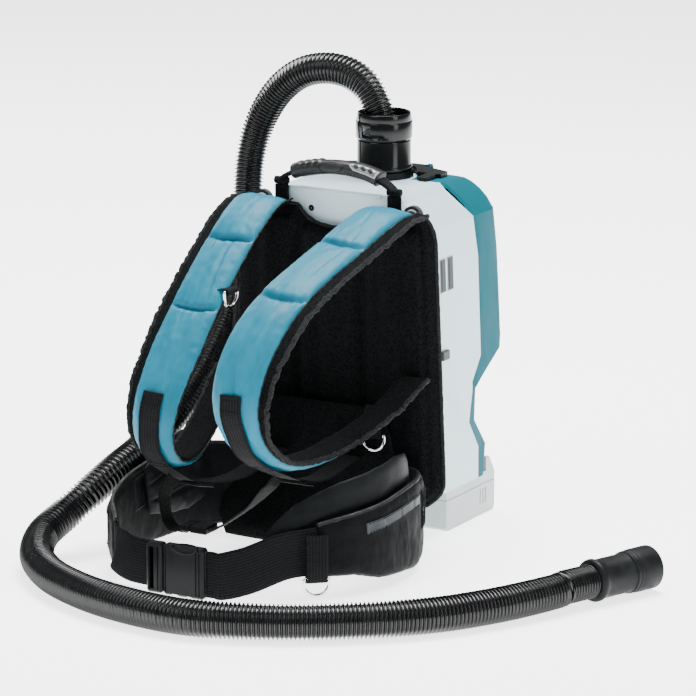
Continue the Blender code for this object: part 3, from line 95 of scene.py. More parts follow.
def between(values, share):
    """The value at a share of the way along a list, straight between its entries."""
    at = min(max(share, 0.0), 1.0) * (len(values) - 1)
    index = min(int(at), len(values) - 2)
    return values[index] + (values[index + 1] - values[index]) * (at - index)


def level_at(rows, key, ease=False):
    """The values at a key in rows of (key, value, ...), straight or eased between the rows."""
    for low, high in zip(rows, rows[1:]):
        if key <= high[0]:
            share = (key - low[0]) / (high[0] - low[0])
            share = share * share * (3 - 2 * share) if ease else share
            return [first + (last - first) * share for first, last in zip(low[1:], high[1:])]
    return list(rows[-1][1:])


def path_length(points):
    return sum((after - here).length for here, after in zip(points, points[1:]))


def resample(dense, count):
    """Points at even steps along a path."""
    lengths = [0.0]
    for first, second in zip(dense, dense[1:]):
        lengths.append(lengths[-1] + (second - first).length)
    spread, index = [], 0
    for step in range(count):
        target = lengths[-1] * step / (count - 1)
        while index < len(dense) - 2 and lengths[index + 1] < target:
            index += 1
        span = lengths[index + 1] - lengths[index]
        share = (target - lengths[index]) / span if span else 0.0
        spread.append(dense[index].lerp(dense[index + 1], min(share, 1.0)))
    return spread


def smooth_path(points, count):
    """Evenly spread points on a smooth curve through the given ones."""
    points = [Vector(point) for point in points]
    padded = [2 * points[0] - points[1]] + points + [2 * points[-1] - points[-2]]
    dense = []
    for index in range(1, len(padded) - 2):
        before, here, after, beyond = padded[index - 1:index + 3]
        for step in range(20):
            t = step / 20
            dense.append(0.5 * (2 * here + (after - before) * t
                                + (2 * before - 5 * here + 4 * after - beyond) * t * t
                                + (3 * here - before - 3 * after + beyond) * t ** 3))
    dense.append(points[-1])
    return resample(dense, count)


def ripple(point, scale, seed=0.0):
    """Smooth noise from -1 to 1 at a point."""
    return noise.noise(Vector(point) * scale + Vector((seed, seed * 1.7, -seed)))


def bump_at(value, centre, width):
    return math.exp(-((value - centre) / width) ** 2)


def finish(obj, body, slot, look=None):
    """Give a made piece its look, which is the slot's look unless another is named, and the body that it
    rides on.
    """
    obj.data.materials.clear()
    obj.data.materials.append(LOOKS[look or slot])
    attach(obj, body)
    return obj


def linked(name, data):
    obj = bpy.data.objects.new(name, data)
    bpy.context.scene.collection.objects.link(obj)
    return obj


def mesh_object(name, points, faces, uvs=None):
    mesh = bpy.data.meshes.new(name)
    mesh.from_pydata([tuple(point) for point in points], [], faces)
    if uvs:
        layer = mesh.uv_layers.new(name="UVMap")
        layer.data.foreach_set("uv", [value for pair in uvs for value in pair])
    mesh.shade_smooth()
    return linked(name, mesh)


def loft(name, rings, loop=False):
    """A body through rings of equal point counts, with UVs in metres along and round it."""
    count, around = len(rings), len(rings[0])
    middles = [sum(ring, Vector()) / around for ring in rings]
    along = [0.0]
    for first, second in zip(middles, middles[1:] + middles[:1]):
        along.append(along[-1] + (second - first).length)
    faces, uvs = [], []
    for row in range(count if loop else count - 1):
        after, v = (row + 1) % count, 0.0
        for i in range(around):
            j = (i + 1) % around
            w = v + (rings[row][j] - rings[row][i]).length
            faces.append((row * around + i, row * around + j, after * around + j, after * around + i))
            uvs += [(along[row], v), (along[row], w), (along[row + 1], w), (along[row + 1], v)]
            v = w
    if not loop:
        base = (count - 1) * around
        faces += [tuple(reversed(range(around))), tuple(range(base, base + around))]
        uvs += [(0.0, 0.001 * i) for i in range(around)] * 2
    return mesh_object(name, [point for ring in rings for point in ring], faces, uvs)


def square_to(axis, hint=UP):
    """Two unit vectors square to an axis."""
    axis = axis.normalized()
    if abs(axis.dot(hint)) > 0.95:
        hint = Vector((1, 0, 0))
    side = axis.cross(hint).normalized()
    return side, axis.cross(side).normalized()


def circle(centre, axis, radius, sides):
    side, up = square_to(axis)
    return [centre + radius * (math.cos(t) * side + math.sin(t) * up) for t in turns(sides)]


def ahead_at(path, index, loop=False):
    if loop:
        return (path[(index + 1) % len(path)] - path[index - 1]).normalized()
    last = len(path) - 1
    return (path[min(index + 1, last)] - path[max(index - 1, 0)]).normalized()


def tube(name, path, radii, sides=12, loop=False):
    """A round tube along a path, turned as little as the path allows."""
    rings, side = [], None
    for index, centre in enumerate(path):
        ahead = ahead_at(path, index, loop)
        side = square_to(ahead)[0] if side is None else (side - side.project(ahead)).normalized()
        other = ahead.cross(side)
        radius = radii[index] if isinstance(radii, list) else radii
        rings.append([centre + radius * (math.cos(t) * side + math.sin(t) * other) for t in turns(sides)])
    return loft(name, rings, loop=loop)


def turned(name, start, axis, profile, sides=48):
    """A body of revolution: profile is a closed outline of (radius, distance along the axis)."""
    axis = axis.normalized()
    rings = [circle(start + axis * along, axis, radius, sides) for radius, along in profile]
    return loft(name, rings, loop=True)


def box(name, centre, size, turn=None):
    """A plain block, to be bevelled or cut by whoever asks for it."""
    bm = bmesh.new()
    bmesh.ops.create_cube(bm, size=1.0)
    bmesh.ops.scale(bm, verts=bm.verts, vec=size)
    matrix = Matrix.Translation(centre) @ (turn.to_4x4() if turn else Matrix())
    bmesh.ops.transform(bm, verts=bm.verts, matrix=matrix)
    mesh = bpy.data.meshes.new(name)
    bm.to_mesh(mesh)
    bm.free()
    return linked(name, mesh)


def modify(obj, kind, **settings):
    mod = obj.modifiers.new(kind.lower(), kind)
    for key, value in settings.items():
        setattr(mod, key, value)


def bevel(obj, width, segments=2, angle=30.0):
    """Rounded edges with flat faces kept flat."""
    obj.data.shade_smooth()
    modify(obj, "BEVEL", width=width, segments=segments, limit_method="ANGLE",
           angle_limit=math.radians(angle), harden_normals=True, miter_outer="MITER_ARC")
    return obj


def cut(obj, *cutters):
    """Cut shapes out of a mesh for good."""
    for cutter in cutters:
        modify(obj, "BOOLEAN", operation="DIFFERENCE", solver="EXACT", object=cutter)
    graph = bpy.context.evaluated_depsgraph_get()
    mesh = bpy.data.meshes.new_from_object(obj.evaluated_get(graph))
    obj.modifiers.clear()
    obj.data = mesh
    for cutter in cutters:
        bpy.data.objects.remove(cutter, do_unlink=True)


def copy_of(node):
    """A copy of a CAD node's mesh with whole flat faces."""
    bm = bmesh.new()
    bm.from_mesh(frame["nodes"][node].data)
    bmesh.ops.remove_doubles(bm, verts=bm.verts, dist=2e-6)
    bmesh.ops.dissolve_limit(bm, angle_limit=math.radians(0.5), verts=bm.verts, edges=bm.edges)
    mesh = bpy.data.meshes.new(node)
    bm.to_mesh(mesh)
    bm.free()
    if "custom_normal" in mesh.attributes:
        mesh.attributes.remove(mesh.attributes["custom_normal"])
    return linked(f"{node}_skin", mesh)


def soften(node, width=0.0008, segments=2, angle=30.0, details=None):
    """Replace a CAD node by its own shape with rounded edges."""
    obj = copy_of(node)
    if details:
        details(obj)
    bevel(obj, width, segments, angle)
    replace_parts(finish(obj, BODY_OF[node], SLOT_OF[node]), node)


# ---------------------------------------------------------------- materials
LOOKS = {}


class Look:
    """A procedural material, built node by node."""

    def __init__(self, name, coords="Object"):
        LOOKS[name] = bpy.data.materials.new(f"look_{name}")
        LOOKS[name].use_nodes = True
        self.tree = LOOKS[name].node_tree
        self.shader = self.tree.nodes["Principled BSDF"]
        self.coords = self.add("ShaderNodeTexCoord", {}).outputs[coords]

    def feed(self, socket, value):
        """Give a socket another node's output, or a plain value."""
        if isinstance(value, bpy.types.NodeSocket):
            self.tree.links.new(value, socket)
        else:
            socket.default_value = value

    def add(self, kind, inputs, **settings):
        made = self.tree.nodes.new(kind)
        for key, value in settings.items():
            setattr(made, key, value)
        for key, value in inputs.items():
            self.feed(made.inputs[key], value)
        return made

    def stretched(self, scale):
        return self.add("ShaderNodeMapping", {"Vector": self.coords, "Scale": scale}).outputs["Vector"]

    def noise(self, scale, detail=3.0, stretch=None, rough=0.5):
        vector = self.stretched(stretch) if stretch else self.coords
        return self.add("ShaderNodeTexNoise", {"Vector": vector, "Scale": scale, "Detail": detail,
                                               "Roughness": rough}).outputs["Fac"]

    def wave(self, scale, direction="X", distortion=0.0):
        inputs = {"Vector": self.coords, "Scale": scale, "Distortion": distortion, "Detail": 1.0}
        return self.add("ShaderNodeTexWave", inputs, bands_direction=direction).outputs["Fac"]

    def cells(self, scale):
        return self.add("ShaderNodeTexVoronoi", {"Vector": self.coords, "Scale": scale}).outputs["Distance"]

    def math(self, operation, first, second):
        return self.add("ShaderNodeMath", {0: first, 1: second}, operation=operation).outputs[0]

    def ramp(self, value, low, high, to_low=0.0, to_high=1.0):
        inputs = {"Value": value, "From Min": low, "From Max": high, "To Min": to_low, "To Max": to_high}
        return self.add("ShaderNodeMapRange", inputs).outputs["Result"]

    def mix(self, share, first, second):
        made = self.add("ShaderNodeMix", {"Factor": share}, data_type="RGBA")
        for socket, value in ((made.inputs[6], first), (made.inputs[7], second)):
            self.feed(socket, (*value, 1.0) if isinstance(value, tuple) else value)
        return made.outputs[2]

    def color(self, value):
        self.plug("Base Color", value)

    def plug(self, socket, value):
        self.feed(self.shader.inputs[socket], value)

    def rough(self, value, low, high, to_low, to_high):
        self.plug("Roughness", self.ramp(value, low, high, to_low, to_high))

    def bump(self, height, strength, distance):
        inputs = {"Height": height, "Strength": strength, "Distance": distance}
        old = self.shader.inputs["Normal"].links
        if old:
            inputs["Normal"] = old[0].from_socket
        self.plug("Normal", self.add("ShaderNodeBump", inputs).outputs["Normal"])


def shade(color, factor):
    return tuple(min(channel * factor, 1.0) for channel in color)


def plastic(name, color, rough, grain=0.12, coat=0.0, vary=0.06, spec=0.5):
    """Moulded plastic: fine spark-eroded grain, faint flow marks and handling wear."""
    look = Look(name)
    cloud = look.noise(14.0, 4.0)
    look.color(look.mix(cloud, shade(color, 1 - vary), shade(color, 1 + vary)))
    smear = look.noise(60.0, 5.0, (1.0, 1.0, 0.25), 0.65)
    look.rough(smear, 0.3, 0.75, rough * 0.8, min(rough * 1.3, 1.0))
    look.plug("Specular IOR Level", spec)
    look.plug("Coat Weight", coat)
    look.plug("Coat Roughness", 0.18)
    look.bump(look.noise(1400.0, 2.0), grain, 0.0002)
    look.bump(look.noise(22.0, 2.0), 0.05, 0.0006)


def satin(name, color):
    """Coated nylon: fine twill, creases and a soft sheen, with painted shade in the folds and a painted
    highlight on their crests.
    """
    look = Look(name, "UV")
    warp = look.wave(420.0, "X")
    weft = look.wave(420.0, "Y")
    twill = look.wave(300.0, "DIAGONAL")
    cloud = look.noise(18.0, 5.0)
    fold = look.noise(34.0, 6.0, (1.0, 2.2, 1.0), 0.62)
    # painted shade and highlight: the crease noise that bumps the cloth also darkens its colour in the folds
    # and lightens it on the crests
    tone = look.mix(look.ramp(fold, 0.32, 0.72), shade(color, 0.8), shade(color, 1.14))
    tone = look.mix(look.math("MULTIPLY", cloud, 0.35), tone, shade(color, 1.25))
    tone = look.mix(look.math("MULTIPLY", twill, 0.1), tone, shade(color, 0.72))
    look.color(tone)
    look.rough(fold, 0.3, 0.7, 0.34, 0.52)
    look.plug("Sheen Weight", 0.03)
    look.plug("Sheen Roughness", 0.35)
    look.plug("Specular IOR Level", 0.16)
    look.bump(look.math("ADD", warp, weft), 0.1, 0.0002)
    look.bump(fold, 0.55, 0.0016)
    look.bump(look.noise(120.0, 4.0, (0.6, 2.4, 1.0)), 0.22, 0.0006)


def spacer_mesh(name, dark, light, cell=430.0):
    """Knitted spacer mesh: round holes between raised yarns, with fluff."""
    look = Look(name)
    holes = look.cells(cell)
    fluff = look.noise(900.0, 3.0)
    tone = look.mix(look.ramp(holes, 0.18, 0.55), dark, light)
    tone = look.mix(look.math("MULTIPLY", look.noise(20.0, 4.0), 0.5), tone, shade(dark, 0.8))
    look.color(look.mix(look.math("MULTIPLY", fluff, 0.25), tone, shade(light, 1.3)))
    look.rough(holes, 0.1, 0.6, 0.95, 0.75)
    look.plug("Specular IOR Level", 0.03)
    look.plug("Sheen Weight", 0.006)
    look.bump(look.ramp(holes, 0.12, 0.5), 0.75, 0.0008)
    look.bump(fluff, 0.25, 0.0003)


def webbing(name, dark, light, pitch=1.5, ridges=3.2):
    """Woven strap: cross ribs, lengthwise cords and a slight sheen. UVs are metres."""
    look = Look(name, "UV")
    per_metre = 1000.0 / math.tau
    cross = look.wave(per_metre / pitch * 2, "X", 0.4)
    cords = look.wave(per_metre / ridges * 2, "Y", 0.2)
    weave = look.math("MULTIPLY", look.ramp(cross, 0.0, 1.0, 0.4, 1.0), look.ramp(cords, 0.0, 1.0, 0.3, 1.0))
    fuzz = look.noise(1600.0, 2.0)
    tone = look.mix(look.ramp(weave, 0.15, 0.95), dark, light)
    look.color(look.mix(look.math("MULTIPLY", fuzz, 0.3), tone, shade(light, 1.4)))
    look.rough(weave, 0.0, 1.0, 0.85, 0.55)
    look.plug("Specular IOR Level", 0.07)
    look.plug("Sheen Weight", 0.008)
    look.bump(weave, 0.8, 0.0006)
    look.bump(fuzz, 0.2, 0.0002)


def cloth(name, color, rough=0.62):
    """Plain woven nylon with soft creases, with painted shade in the creases and a painted highlight on their
    crests.
    """
    look = Look(name)
    fold = look.noise(46.0, 5.0, rough=0.6)
    weave = look.math("MULTIPLY", look.wave(420.0, "X"), look.wave(420.0, "Z"))
    # painted shade and highlight: the crease noise that bumps the cloth also darkens its colour in the
    # creases and lightens it on the crests
    look.color(look.mix(look.ramp(fold, 0.3, 0.75), shade(color, 0.7), shade(color, 1.7)))
    look.rough(fold, 0.3, 0.7, rough * 0.85, min(rough * 1.25, 1.0))
    look.plug("Specular IOR Level", 0.07)
    look.plug("Sheen Weight", 0.01)
    look.bump(weave, 0.25, 0.0003)
    look.bump(fold, 0.4, 0.0012)


def rubber(name, color, rough, bump=0.1, spec=0.3):
    """Moulded rubber with a little pale dust on it."""
    look = Look(name)
    dust = look.noise(90.0, 5.0, rough=0.65)
    look.color(look.mix(look.ramp(dust, 0.5, 0.85), color, shade(color, 2.4)))
    look.rough(dust, 0.3, 0.8, rough * 0.8, rough * 1.7)
    look.plug("Specular IOR Level", spec)
    look.bump(look.noise(700.0, 3.0), bump, 0.0003)


def metal(name, color, rough, brushed=0.15):
    """Drawn wire and turned pins, with fine lengthwise scratches."""
    look = Look(name)
    scratch = look.noise(240.0, 4.0, (1.0, 1.0, 14.0), 0.7)
    look.color(look.mix(look.noise(40.0, 3.0), shade(color, 0.86), color))
    look.plug("Metallic", 1.0)
    look.rough(scratch, 0.35, 0.7, rough * 0.7, rough * 1.7)
    look.bump(scratch, brushed, 0.0002)


def fibre(name, dark, light, scale):
    """Pressed or spun fibre, for the bag, the filter and card."""
    look = Look(name)
    strands = look.noise(scale, 6.0, (1.0, 0.35, 1.0), 0.75)
    specks = look.cells(scale * 1.6)
    tone = look.mix(look.ramp(strands, 0.35, 0.7), dark, light)
    look.color(look.mix(look.ramp(specks, 0.0, 0.12, 0.4, 0.0), tone, shade(dark, 0.8)))
    look.rough(strands, 0.3, 0.7, 0.95, 0.8075)
    look.bump(strands, 0.5, 0.0006)


def circuit_board():
    """Lacquered board with traces, and dull tops on its tall parts."""
    look = Look("board")
    lines = look.add("ShaderNodeTexBrick", {"Vector": look.stretched((1.0, 0.0, 1.0)), "Scale": 160.0,
                                            "Mortar Size": 0.05, "Color1": (0.0, 0.0, 0.0, 1.0),
                                            "Color2": (0.1, 0.1, 0.1, 1.0), "Mortar": (1.0, 1.0, 1.0, 1.0)})
    look.color(look.mix(lines.outputs["Fac"], (0.012, 0.1, 0.045), (0.05, 0.26, 0.1)))
    look.rough(look.noise(80.0), 0.3, 0.7, 0.22, 0.4)
    look.bump(lines.outputs["Fac"], 0.3, 0.0003)


FLOOR_GLOW = 2.8                 # a lit backdrop, as under a product on a light table


def floor_look():
    look = Look("floor")
    tone = look.mix(look.noise(1.2, 3.0), (0.9, 0.9, 0.905), (0.92, 0.92, 0.92))
    look.color(tone)
    look.plug("Emission Color", tone)
    look.plug("Emission Strength", FLOOR_GLOW)
    look.rough(look.noise(30.0), 0.3, 0.7, 0.7, 0.8)
    look.bump(look.noise(300.0), 0.02, 0.0005)


TEAL = (0.003, 0.14, 0.215)
plastic("white_plastic", (0.5, 0.645, 0.69), 0.38, coat=0.05, vary=0.02)
plastic("teal_plastic", (0.001, 0.085, 0.11), 0.5, vary=0.06, spec=0.08)
plastic("black_plastic", (0.0035, 0.0042, 0.0046), 0.36, grain=0.2, vary=0.2, spec=0.16)
plastic("gloss_plastic", (0.0022, 0.0028, 0.003), 0.16, grain=0.05, vary=0.2, spec=0.28)
plastic("grey_plastic", (0.035, 0.037, 0.041), 0.45, grain=0.3, vary=0.1, spec=0.3)
plastic("pale_grey", (0.3, 0.33, 0.34), 0.4, vary=0.06)
plastic("vent_grey", (0.045, 0.052, 0.055), 0.5, vary=0.1, spec=0.2)
plastic("silver_plastic", (0.1, 0.11, 0.115), 0.22, vary=0.2, spec=0.8)
plastic("shield_rim", (0.34, 0.36, 0.37), 0.3, vary=0.05)
plastic("battery_plastic", (0.42, 0.455, 0.46), 0.48, grain=0.35, vary=0.03)
rubber("grip_rubber", (0.005, 0.0055, 0.0065), 0.36, 0.15)
circuit_board()
fibre("collar_card", (0.5, 0.42, 0.3), (0.66, 0.57, 0.43), 340.0)
rubber("black_rubber", (0.0035, 0.004, 0.0042), 0.2, spec=0.42)
rubber("cuff_rubber", (0.0045, 0.0052, 0.0056), 0.42, 0.06, spec=0.12)
spacer_mesh("black_mesh", (0.0008, 0.001, 0.0011), (0.0052, 0.006, 0.0063))
spacer_mesh("fuzz", (0.002, 0.0022, 0.0024), (0.024, 0.025, 0.026), 620.0)
rubber("piping", (0.002, 0.002, 0.0024), 0.5, 0.3)
cloth("black_cloth", (0.002, 0.0024, 0.0027))
cloth("flap_cloth", (0.0046, 0.0056, 0.0062), 0.45)
cloth("thread", (0.006, 0.006, 0.007))
cloth("reflective", (0.04, 0.044, 0.047), 0.38)
satin("teal_fabric", TEAL)
webbing("webbing", (0.0015, 0.0016, 0.0018), (0.0085, 0.009, 0.0098))
webbing("belt_webbing", (0.0018, 0.002, 0.0023), (0.008, 0.0088, 0.0098), 2.2, 3.0)
fibre("bag_fleece", (0.72, 0.71, 0.68), (0.86, 0.86, 0.84), 420.0)
fibre("filter_paper", (0.76, 0.74, 0.68), (0.88, 0.87, 0.82), 500.0)
metal("steel", (0.56, 0.57, 0.58), 0.3)
metal("chrome", (0.8, 0.81, 0.83), 0.1, 0.05)
SLOT_OF = {name: node.data.materials[0].name.split(".")[0] for name, node in frame["nodes"].items()}
BODY_OF = {name: body_of(node)[0] for name, node in frame["nodes"].items()}


def dress_nodes():
    """Every CAD node that stays takes the look of its slot."""
    for name, node in frame["nodes"].items():
        node.material_slots[0].material = LOOKS[SLOT_OF[name]]


# ---------------------------------------------------------------- camera, floor and light
CAMERA_AZIMUTH = math.radians(29.5)
CAMERA_ELEVATION = math.radians(13.4)
FOCAL_PX = 4500.0
PX_PER_METRE = 962.0
ORIGIN_PX = (339.5, 531.5)       # where the back face's foot lies in the picture
FRAME_PX = 696.0
FLOOR_REACH = 14.0
SKY_TINT = (0.92, 0.97, 1.0, 1.0)
SKY_STRENGTH = 0.3
LIGHT_AIM = Vector((0, 0, 0.2))
LIGHTS = (                       # name, place, size, power
    ("key", (-0.9, -2.2, 2.3), (1.6, 1.6), 40.0),
    ("side", (2.6, -0.4, 1.4), (0.9, 2.0), 30.0),
    ("top", (0.0, 0.8, 3.0), (2.4, 1.6), 300.0),
    ("rim", (-2.2, 1.6, 1.6), (0.8, 1.8), 24.0),
)


def camera_axes():
    a, e = CAMERA_AZIMUTH, CAMERA_ELEVATION
    right = Vector((math.cos(a), math.sin(a), 0))
    ahead = Vector((-math.sin(a) * math.cos(e), math.cos(a) * math.cos(e), -math.sin(e)))
    return right, right.cross(ahead), ahead


def make_camera():
    right, up, ahead = camera_axes()
    distance = FOCAL_PX / PX_PER_METRE
    across = (ORIGIN_PX[0] - FRAME_PX / 2) / FOCAL_PX * distance
    down = (ORIGIN_PX[1] - FRAME_PX / 2) / FOCAL_PX * distance
    data = bpy.data.cameras.new("camera")
    data.sensor_width = 36.0
    data.lens = FOCAL_PX / FRAME_PX * data.sensor_width
    camera = linked("camera", data)
    spot = place(0, 0, 0) - right * across + up * down - ahead * distance
    axes = Matrix((right, up, -ahead)).transposed()
    camera.matrix_world = Matrix.Translation(spot) @ axes.to_4x4()
    bpy.context.scene.camera = camera


def area_light(name, spot, size, power):
    data = bpy.data.lights.new(name, "AREA")
    data.shape = "RECTANGLE"
    data.size, data.size_y = size
    data.energy = power
    lamp = linked(name, data)
    lamp.location = spot
    lamp.rotation_mode = "QUATERNION"
    lamp.rotation_quaternion = (LIGHT_AIM - Vector(spot)).to_track_quat("-Z", "Y")


def make_studio():
    corners = ((-1, -1), (1, -1), (1, 1), (-1, 1))
    floor = mesh_object("floor", [(x * FLOOR_REACH, y * FLOOR_REACH, 0) for x, y in corners], [(0, 1, 2, 3)])
    floor_look()
    floor.data.materials.append(LOOKS["floor"])
    world = bpy.data.worlds.new("studio")
    world.use_nodes = True
    sky = world.node_tree.nodes["Background"].inputs
    sky["Color"].default_value = SKY_TINT
    sky["Strength"].default_value = SKY_STRENGTH
    bpy.context.scene.world = world
    for light in LIGHTS:
        area_light(*light)


# ---------------------------------------------------------------- hose
HOSE_TILT = math.radians(22.0)
HOSE_START = (0.0035, 0.094, 0.4035)
HOSE_ROUTE = (
    (-0.0225, 0.094, 0.4545), (-0.043, 0.094, 0.4655), (-0.07, 0.093, 0.468), (-0.099, 0.092, 0.46),
    (-0.126, 0.091, 0.438), (-0.145, 0.087, 0.405), (-0.152, 0.079, 0.368), (-0.15, 0.069, 0.33),
    (-0.1465, 0.059, 0.288), (-0.146, 0.046, 0.246), (-0.1465, 0.026, 0.21), (-0.149, 0.003, 0.181),
    (-0.153, -0.025, 0.152), (-0.16, -0.06, 0.123), (-0.168, -0.112, 0.096), (-0.174, -0.16, 0.08),
    (-0.184, -0.192, 0.063), (-0.198, -0.216, 0.044), (-0.204, -0.248, 0.03), (-0.188, -0.285, 0.0212),
    (-0.158, -0.318, 0.0184), (-0.118, -0.348, 0.0182), (-0.06, -0.375, 0.0182), (0.004, -0.39, 0.0182),
    (0.06, -0.391, 0.0182), (0.115, -0.373, 0.0182), (0.157, -0.352, 0.0182), (0.199, -0.323, 0.0182),
    (0.235, -0.293, 0.0182), (0.269, -0.254, 0.0184), (0.301, -0.202, 0.0192), (0.326, -0.148, 0.0206),
)
HOSE_END = (0.342, -0.104, 0.0222)
CUFF_HEADING = Vector((0.345, 0.94, 0.0)).normalized()
HOSE_WIDE = 0.036                # over the crests
# share of the hose's length, rib spacing and crest radius
HOSE_STRETCH = ((0.0, 0.0038, 0.016), (0.06, 0.0044, 0.0166), (0.12, 0.004, 0.0164), (0.28, 0.004, 0.016),
                (0.38, 0.005, 0.0164), (0.46, 0.005, 0.017), (0.56, 0.0043, 0.0178), (0.66, 0.0042, 0.0181),
                (0.8, 0.0042, 0.018), (0.94, 0.0039, 0.0176), (1.0, 0.0035, 0.017))
RIB_SHAPE = ((0.0, 0.0), (0.26, 0.1), (0.42, 0.8), (0.5, 1.0), (0.58, 0.8), (0.74, 0.1))
RIB_DEPTH = 0.0027


def hose_centreline(count):
    """The hose's middle line: straight at both ends, and along its route between them."""
    start, end = place(*HOSE_START), place(*HOSE_END)
    lean = Vector((-math.sin(HOSE_TILT), 0.0, math.cos(HOSE_TILT)))
    straight_in = [start + lean * (HOSE_WIDE * part) for part in (0.0, 0.5, 1.0)]
    straight_out = [end - CUFF_HEADING * (HOSE_WIDE * part) for part in (1.0, 0.5, 0.0)]
    return smooth_path(straight_in + places(HOSE_ROUTE) + straight_out, count)


def make_hose():
    """Stretch hose with a real rib for every turn, closer together where it lies slack."""
    path = hose_centreline(1500)
    length = path_length(path)
    spots, radii, at = [], [], 0.0
    while at < length:
        pitch, crest = level_at(HOSE_STRETCH, at / length)
        for part, rise in RIB_SHAPE:
            spot = at + part * pitch
            if spot < length:
                spots.append(between(path, spot / length))
                radii.append(crest - RIB_DEPTH * (1 - rise))
        at += pitch
    hose = tube("stretch_hose", spots, radii, 30)
    finish(hose, "machine", "black_rubber", "black_rubber")
    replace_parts(hose, "hose")
    cuff = ["hose_ferrule"] + make_cuff()


# ---------------------------------------------------------------- soft goods
def frames_along(points, count, across=(1, 0, 0)):
    """Centre, width direction and face direction at even steps along a path."""
    path = smooth_path(points, count)
    rows = [Vector(row) for row in (across if isinstance(across[0], tuple) else (across, across))]
    frames = []
    for index, centre in enumerate(path):
        ahead = ahead_at(path, index)
        wide = between(rows, index / (count - 1))
        wide = (wide - wide.project(ahead)).normalized()
        frames.append((centre, wide, ahead.cross(wide)))
    return frames


def band(name, frames, shape, sides=30, back=12):
    """A long body along frames: shape(share, u, face) gives a ring point's offset across and out."""
    top = [(math.sin(math.pi / 2 * (1 - 2 * step / sides)), 1.0) for step in range(sides + 1)]
    low = [(-math.sin(math.pi / 2 * (1 - 2 * step / back)), -1.0) for step in range(1, back)]
    rings = []
    for index, (centre, wide, out) in enumerate(frames):
        share = index / (len(frames) - 1)
        offsets = [shape(share, u, face) for u, face in top + low]
        rings.append([centre + wide * across + out * rise for across, rise in offsets])
    return loft(name, rings)


def rounded(u, power=4.0):
    """Falls from 1 in the middle to 0 at the edges, as a cross-section's height does."""
    return math.sqrt(max(1 - abs(u) ** power, 0.0))


def end_taper(share, reach, least=0.15):
    """Rounds a band off over its first and last share."""
    near = min(share, 1 - share) / reach
    return 1.0 if near >= 1 else max(math.sqrt(1 - (1 - near) ** 2), least)


def ribbon(name, frames, width, thick, slot="webbing", look=None, waver=0.0004):
    """Flat webbing with rounded edges and a slight waver."""
    def shape(share, u, face):
        wave = waver * ripple((share * 30, 0, width * 90), 1.0)
        return u * width / 2, face * thick / 2 * rounded(u, 10.0) + wave
    return finish(band(name, frames, shape, 10, 10), "machine", slot, look)


def stitches(name, spots, pitch=0.0036, thick=0.0005):
    """A row of thread stitches: spots are points on a face and the way that it looks."""
    path, looks = [spot for spot, _ in spots], [way for _, way in spots]
    count = max(round(path_length(path) / pitch), 1)
    points, faces = [], []
    for step in range(count):
        start, end = (between(path, (step + part) / count) for part in (0.1, 0.8))
        out = between(looks, (step + 0.5) / count).normalized()
        side = (end - start).cross(out).normalized()
        base = len(points)
        for part, radius, rise in ((0.0, 0.3, -0.5), (0.2, 1.0, 0.4), (0.8, 1.0, 0.4), (1.0, 0.3, -0.5)):
            middle = start.lerp(end, part) + out * (rise * thick)
            points += [middle + (side * math.cos(turn) + out * math.sin(turn)) * radius * thick
                       for turn in (0.0, math.pi / 2, math.pi, -math.pi / 2)]
        for row in range(3):
            for i in range(4):
                low, after = base + row * 4, (i + 1) % 4
                faces.append((low + i, low + after, low + 4 + after, low + 4 + i))
        faces += [(base + 3, base + 2, base + 1, base), (base + 12, base + 13, base + 14, base + 15)]
    finish(mesh_object(name, points, faces), "machine", "webbing", "thread")


# ---------------------------------------------------------------- shoulder straps
STRAP_END_Z = 0.3523
PAD_FRONT = -0.027
STRAP_ROUTES = {
    "left": ((-0.0745, -0.008, STRAP_END_Z), (-0.075, -0.042, 0.348), (-0.075, -0.088, 0.322),
             (-0.075, -0.153, 0.271), (-0.076, -0.205, 0.218), (-0.078, -0.232, 0.178),
             (-0.081, -0.233, 0.142), (-0.084, -0.205, 0.114), (-0.088, -0.162, 0.108),
             (-0.095, -0.118, 0.122), (-0.102, -0.076, 0.145), (-0.106, -0.044, 0.168),
             (-0.1065, PAD_FRONT, 0.17)),
    "right": ((0.0745, -0.008, STRAP_END_Z), (0.072, -0.052, 0.35), (0.064, -0.113, 0.329),
              (0.054, -0.205, 0.296), (0.048, -0.262, 0.254), (0.046, -0.286, 0.206),
              (0.05, -0.272, 0.162), (0.058, -0.23, 0.134), (0.07, -0.175, 0.129),
              (0.086, -0.124, 0.142), (0.098, -0.078, 0.159), (0.106, -0.044, 0.179),
              (0.1065, PAD_FRONT, 0.18)),
}
STRAP_WIDTHS = (0.053, 0.053, 0.053, 0.053, 0.055, 0.056, 0.052, 0.044, 0.036, 0.032, 0.03, 0.029, 0.028)
STRAP_THICKS = (0.015, 0.016, 0.016, 0.016, 0.016, 0.016, 0.015, 0.013, 0.012, 0.011, 0.01, 0.01, 0.009)
STRAP_SEAMS = (0.16, 0.32)
STRAP_RIM = (0.01, 0.013, 0.013, 0.013, 0.013, 0.012, 0.01, 0.006, 0.003, 0.002, 0.002, 0.002, 0.001)
STRAP_LAST = 299                 # the number of a strap's last frame
STRAP_START = 9                  # the first frame of the teal layer, past the strap's sewn end
SEAM_BOW = 0.01                 # how far the middle of a cross seam hangs, as a share of the strap
LAYER = 0.06                     # where the teal layer meets the mesh, as a share of the thickness
# edges: name, way across, reach past the teal layer, depth through the strap, radius, unevenness, look
# the near-black piping along both edges of the teal layer is also drawn as the shadow line between the teal
# and the mesh: painted shade
STRAP_EDGES = (("piping_shade_line_outer", 1, 0.0, -0.1, 0.001, 0.15, "piping"),
               ("piping_shade_line_inner", -1, 0.0, -0.1, 0.001, 0.15, "piping"),
               ("binding", 1, 0.95, -0.25, 0.0026, 0.3, "fuzz"))
